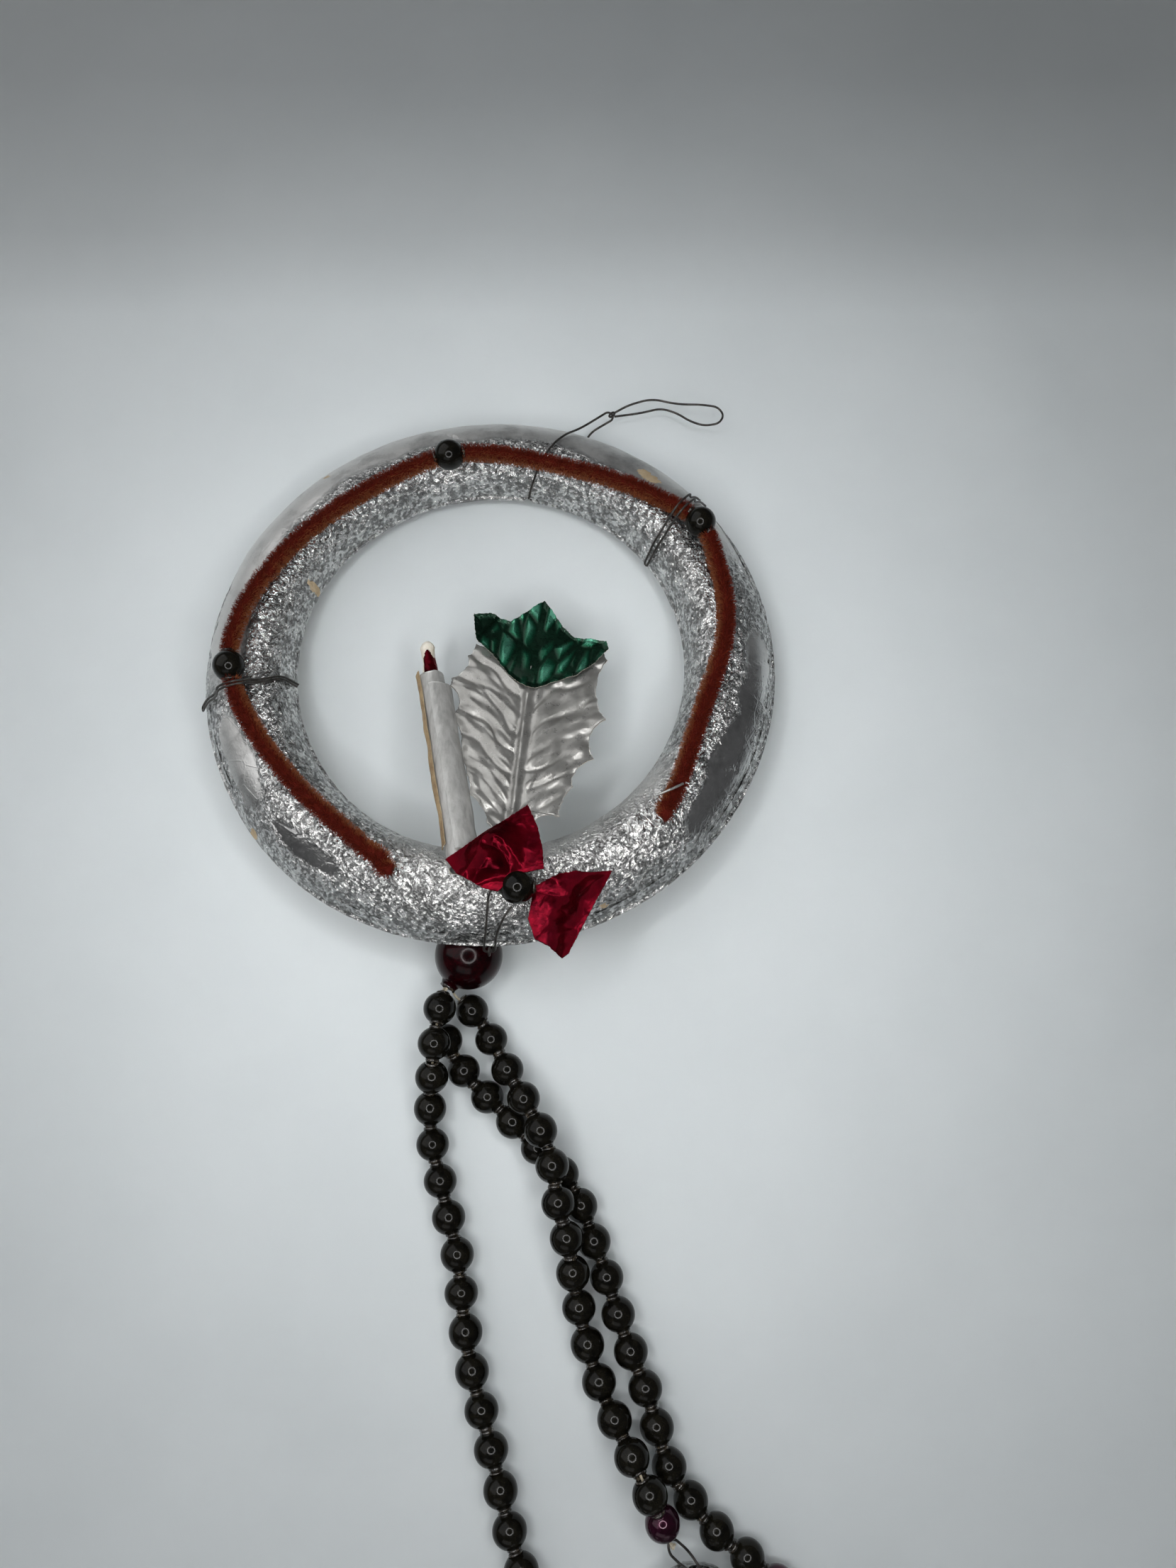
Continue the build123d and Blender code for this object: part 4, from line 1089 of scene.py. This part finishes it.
def blade(outline, spine, height, count, rows, thickness, ragged, seed):
    """Cut sheet with an outline and a spine: strips run from the spine to the edge. Closed, edge faces kind 1."""
    rng = np.random.default_rng(seed)
    edge = resample(np.array([*outline, outline[0]]), count + 1)[:-1]
    edge = edge + ragged * rng.normal(0, 1, edge.shape)
    a, b = np.array(spine[0]), np.array(spine[1])
    t = np.clip(((edge - a) @ (b - a)) / ((b - a) @ (b - a)), 0.04, 0.96)
    root = a + t[:, None] * (b - a)
    share = np.linspace(0, 1, rows)[:, None, None]
    flat = root + share * (edge - root)
    z = height(flat[..., 0], flat[..., 1], share[..., 0] + 0 * flat[..., 0])
    top = np.concatenate([flat, (z + thickness)[..., None]], -1)
    under = np.concatenate([flat, z[..., None]], -1)
    faces = grid_faces(rows, count, False, True)
    size = rows * count
    border = [*range(size - count, size), size - count]
    rim = [[a, b, b + size, a + size] for a, b in zip(border, border[1:])]
    points = np.concatenate([top.reshape(-1, 3), under.reshape(-1, 3)])
    kinds = [0] * (2 * len(faces)) + [1] * count
    return points, np.concatenate([faces[:, ::-1], faces + size, rim]), kinds


def on_leaf(points, level):
    """Points of the leaf's own plane, placed in the wreath's frame."""
    x, y, z = np.moveaxis(np.asarray(points, float), -1, 0)
    z = z + level
    c, s = math.cos(LEAF_SLOPE), math.sin(LEAF_SLOPE)
    return LEAF_APEX + np.stack([x, y * c + z * s, -y * s + z * c], -1)


def slanted(x, y, rib_x):
    """Distance along the leaf at which a side vein through this point leaves the midrib, and how far out it is."""
    out = np.abs(x - rib_x)
    return y - 1.2 * out + 0.022 * out * out, out


def silver_height(x, y, share):
    (foot_x, foot_y), (top_x, top_y) = MIDRIB
    rib_x = foot_x + (y - foot_y) / (top_y - foot_y) * (top_x - foot_x)
    level, out = slanted(x, y, rib_x)
    z = 0.55 * np.exp(-((out / 0.75) ** 2)) - 0.25 * np.exp(-(((out - 1.7) / 0.8) ** 2)) + 0.7 * smooth(16, 2, out)
    flat = on_plane(x, y)
    wave = level / VEIN_PITCH + 0.55 * noise(flat, 8.0, 80) + 0.5 * (x > rib_x)
    off = np.abs(wave - np.round(wave)) * VEIN_PITCH
    z = z - 0.40 * np.exp(-((off / 1.1) ** 2)) * smooth(0.6, 2.2, out)
    place = np.stack([out * np.sign(x - rib_x) * 0.62, level * 1.25, 0 * x], -1)
    near, second = cells(place, 4.2, 81)
    z = z + 0.40 * smooth(-0.1, 0.9, second - near) * smooth(0.8, 2.6, out) + 0.3 * noise(place, 2.6, 84)
    curled = 0.7 * smooth(0.80, 1.0, share) * (0.4 + 0.6 * noise(flat, 4.0, 83))
    return z + 0.35 * noise(flat, 9.0, 82) * share - curled


def green_cells(x, y):
    """How raised the green foil is, from 0 in its grooves to 1 on its long blisters."""
    rib_x = -1.8 + 0.16 * (y + 15)
    level, out = slanted(x, y, rib_x)
    place = np.stack([out * np.sign(x - rib_x) * 0.9 + 2, level * 0.5 + 31, 0 * x], -1)
    near, second = cells(place, 3.7, 92)
    return smooth(0.06, 0.50, second - near) * smooth(0.6, 1.6, out)


def green_height(x, y, share):
    z = 0.45 * green_cells(x, y) + 0.5 * noise(on_plane(x, y), 9.0, 92)
    return z + 1.2 * green_fold(x, y) + 0.4 * smooth(0.86, 1.0, share)


def green_fold(x, y):
    """1 on the corner that is bent up, 0 elsewhere."""
    return smooth(0.0, 1.2, -(x + 14.6) * 0.8 + (y + 9.6) * 0.6)


def scalloped(outline, depth):
    """The outline with each of its sides drawn in, so that its corners stand out as teeth."""
    corners = np.array(outline)
    middle = corners.mean(0)
    line = []
    for a, b in zip(corners, np.roll(corners, -1, 0)):
        side = b - a
        inward = unit([-side[1], side[0]])
        inward = inward * np.sign(np.dot(middle - (a + b) / 2, inward))
        for t in np.linspace(0, 1, 7)[:-1]:
            line.append(a + t * side + inward * depth * np.linalg.norm(side) * 4 * t * (1 - t))
    return line


def make_leaf():
    spine = ((-9.0, -66.0), (-2.5, -20.0))
    points, faces, kinds = blade(scalloped(SILVER_LEAF, 0.10), spine, silver_height, 460, 60, 0.25, 0.05, 31)
    add_mesh("embossed_silver_leaf", set_down(on_leaf(points, 0.1)), faces, [pearly_paper, cream_paper], "wreath",
             "silver_leaf_foil", ["silver_leaf"], kinds=kinds)
    points, faces, kinds = blade(GREEN_TIP, ((-9.0, -14.5), (8.0, -16.5)), green_height, 340, 50, 0.12, 0.06, 32)
    # Painted shade and highlight for the green tip: low in the grooves and on the bent-up corner, high on the
    # blisters.
    raised = green_cells(points[:, 0], points[:, 1]) * (1 - green_fold(points[:, 0], points[:, 1]))
    add_mesh("embossed_green_tip", set_down(on_leaf(points, 1.7)), faces, [green_foil, cream_paper], "wreath",
             "green_foil", ["green_leaf_tip"], kinds=kinds, values={"raised": raised})


make_leaf()


# ---------------------------------------------------------------- bow

LEFT_LOBE = [
    (-7.6, -59.3), (11.6, -45.8), (14.0, -51.2), (15.2, -56.2), (15.7, -61.6), (9.3, -63.0),
    (4.9, -67.2), (1.8, -66.5), (-4.6, -63.2),
]
RIGHT_LOBE = [
    (12.8, -64.6), (19.3, -61.2), (23.3, -60.6), (26.2, -61.3), (31.8, -61.5), (27.5, -69.5),
    (24.6, -75.2), (21.4, -81.2), (20.0, -82.2), (16.8, -78.8), (13.4, -77.2), (11.8, -72.2), (12.4, -68.8),
]
BOW_BEAD = np.array([9.3, -65.4, 18.3])


def crumpled_lobe(outline, spine, level, seed):
    """Glossy foil, crumpled: sharp creases cross it, and folds fan out from the bow's bead."""
    rng = np.random.default_rng(seed)
    creases = [(rng.uniform(-1, 1, 2), rng.uniform(0, math.pi), rng.choice([-1, 1]) * rng.uniform(0.15, 0.4))
               for _ in range(8)]
    middle = np.mean(outline, 0)
    reach = np.ptp(outline, 0) * 0.36

    def height(x, y, share):
        place = on_plane(x, y)
        turn = np.arctan2(y - BOW_BEAD[1], x - BOW_BEAD[0])
        away = np.hypot(x - BOW_BEAD[0], y - BOW_BEAD[1])
        bend = 0.5 * noise(place, 6.0, seed)
        z = 1.1 * np.abs(np.sin(turn * 3.0 + 2 * bend)) * smooth(1.0, 6.0, away) * smooth(18.0, 8.0, away)
        for (u, v), turned, slope in creases:
            right, far = x - middle[0] - u * reach[0], y - middle[1] - v * reach[1]
            across = right * math.cos(turned) + far * math.sin(turned)
            z = z + slope * (np.abs(across + 2 * bend) - 3.2)
        return np.tanh(0.5 * (z + 0.35 * noise(place, 2.0, seed + 2))) * 2.0 + 1.0

    points, faces, _ = blade(outline, spine, height, 200, 44, 0.12, 0.05, seed)
    return set_down(points + [0, 0, level]), faces


def make_bow():
    points, faces = crumpled_lobe(LEFT_LOBE, ((-1.0, -61.5), (11.5, -57.0)), 21.6, 101)
    add_mesh("crumpled_bow_left", points, faces, [crimson_foil], "wreath", "crimson_foil", ["bow_left_lobe"])
    points, faces = crumpled_lobe(RIGHT_LOBE, ((15.5, -68.0), (22.0, -70.0)), 15.6, 111)
    add_mesh("crumpled_bow_right", points, faces, [crimson_foil], "wreath", "crimson_foil", ["bow_right_lobe"])
    rng = np.random.default_rng(17)
    bead = glass_bead(rng, set_down(BOW_BEAD), np.array([1.0, 0, 0]), 1.0)
    add_glass("glass_bow_bead", bead, dark_glass, "dark_glass", "wreath", "bow_bead")
    turn = full_turn(48)
    pad = round_axis(2.3, turn, 0.25 * np.sin(5 * turn))
    line = pad + [BOW_BEAD[0], BOW_BEAD[1], RING_HEIGHT + 0.9]
    points, faces = sweep(line, 0.55 + 0.12 * np.sin(7 * turn), 8, True)
    add_mesh("bow_foil_knot", set_down(points), into_triangles(faces, rng), [crimson_foil], "wreath",
             "crimson_foil", ["bow_knot"], flat=True)


make_bow()


# ---------------------------------------------------------------- glass ball and icicles

def lathe(profile, sides, origin, axis):
    """Points turned round an axis from (radius, height) pairs."""
    profile = np.asarray(profile, float)
    side, up = crosswise(axis)
    turn = full_turn(sides)
    around = np.cos(turn)[:, None] * side + np.sin(turn)[:, None] * up
    return np.asarray(origin) + profile[:, :1, None] * around + profile[:, 1:, None] * np.asarray(axis), turn


def make_ball():
    reach = BALL_R + NECK_LENGTH
    start = math.asin(NECK_R / BALL_R)
    pole = math.asin(0.8 / BALL_R)
    arc = np.linspace(start + 0.05, math.pi - pole, 70)
    body = [(BALL_R * math.sin(a), BALL_R * math.cos(a)) for a in arc]
    neck = [(NECK_R - 0.45, 5.5), (NECK_R - 0.45, reach - 0.2), (NECK_R - 0.2, reach + 0.05),
            (NECK_R + 0.05, reach - 0.15), (NECK_R, reach - 0.7)]
    back = [(0.75, -math.cos(pole) * BALL_R + 0.1), (0.75, -BALL_R + 1.5)]
    profile = np.array(neck + body + back)
    sides = 96
    points, turn = lathe(profile, sides, BALL_CENTRE, BALL_AXIS)
    ragged = 0.16 * np.sin(turn * 3 + 1) + 0.1 * np.sin(turn * 7)
    on_neck = np.zeros(len(profile))
    on_neck[1:4] = 1
    points = points + (on_neck[:, None] * ragged)[..., None] * BALL_AXIS
    faces = grid_faces(len(profile), sides, False, True)
    kinds = (faces[:, 0] // sides < len(neck) - 1).astype(int)
    part = points.reshape(-1, 3), faces, kinds
    add_glass("garnet_glass_ball", part, garnet_glass, "garnet_glass", "drop", "drop_ball")


def make_icicle(name, strand, seed):
    """Foil icicle: a crinkled dome above a long pleated cone."""
    rng = np.random.default_rng(seed)
    dip = math.atan((ICICLE_R - ICICLE_TIP_R) / (ICICLE_LENGTH - ICICLE_CAP))
    apex_z = ICICLE_R * math.cos(dip) + ICICLE_CAP * math.sin(dip)
    apex = np.array([*strand["apex"], apex_z])
    heading = unit([*strand["heading"], 0.0])
    down = unit(heading * math.cos(dip) - np.array([0, 0, math.sin(dip)]))
    dome = bezier([(0.05, 0), (0.5523 * ICICLE_R, 0), (ICICLE_R, ICICLE_CAP * 0.4477), (ICICLE_R, ICICLE_CAP)], 40)
    side = np.array([(ICICLE_R, ICICLE_CAP), (ICICLE_TIP_R, ICICLE_LENGTH)])
    profile = np.concatenate([resample(dome, 15), resample(side, 66)[1:], [(0.05, ICICLE_LENGTH + 0.1)]])
    sides = 64
    points, turn = lathe(profile, sides, apex, down)
    drop = profile[:, 1][:, None]
    wide = (profile[:, 0] / ICICLE_R)[:, None]
    pleats = np.sin(11 * turn + 0.06 * drop + 0.8 * noise(points, 14.0, seed))
    middle = apex + drop[..., None] * down
    outward = unit(points - middle + 1e-9)
    jitter = rng.uniform(-0.20, 0.20, points.shape[:2])
    proud = 0.5 * pleats * smooth(ICICLE_CAP * 0.6, 20, drop) * wide - 0.45
    crinkles = 0.30 * noise(points, 2.4, seed + 1) + 0.20 * noise(points, 1.2, seed + 2) + jitter
    proud = (proud + crinkles * (0.25 + 0.75 * wide)) * smooth(0.02, 0.2, wide)
    points = points + outward * proud[..., None]
    points = points + down * (rng.uniform(-0.3, 0.3, drop.shape) * smooth(0.1, 0.3, wide))[..., None]
    points[..., 2] = np.maximum(points[..., 2], 0.05)
    faces = into_triangles(grid_faces(len(profile), sides, False, True), rng)
    dull = np.clip(0.25 + 0.5 * noise(points, 9.0, seed + 4), 0, 1)
    nodes = [f"icicle_foil_{name}", f"icicle_core_{name}"]
    add_mesh(f"crinkled_icicle_{name}", points.reshape(-1, 3), faces, [icicle_foil], f"icicle_{name}",
             "icicle_foil", nodes, flat=True, values={"dull": dull.ravel()})


make_ball()
for number, (name, strand) in enumerate(STRANDS.items()):
    make_icicle(name, strand, 201 + 10 * number)


# ---------------------------------------------------------------- CAD pieces that stay

KEPT_WIRES = ["left_tie_wire", "right_tie_wire", "hanger_wrap", "hanger_loop", "bow_wire", "drop_link",
              "icicle_loop_left", "icicle_loop_middle", "icicle_loop_right"]
for node, finish in [*((wire, dark_wire) for wire in KEPT_WIRES), ("leaf_stem", silver_paper)]:
    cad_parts[node].data.materials.clear()
    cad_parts[node].data.materials.append(finish)
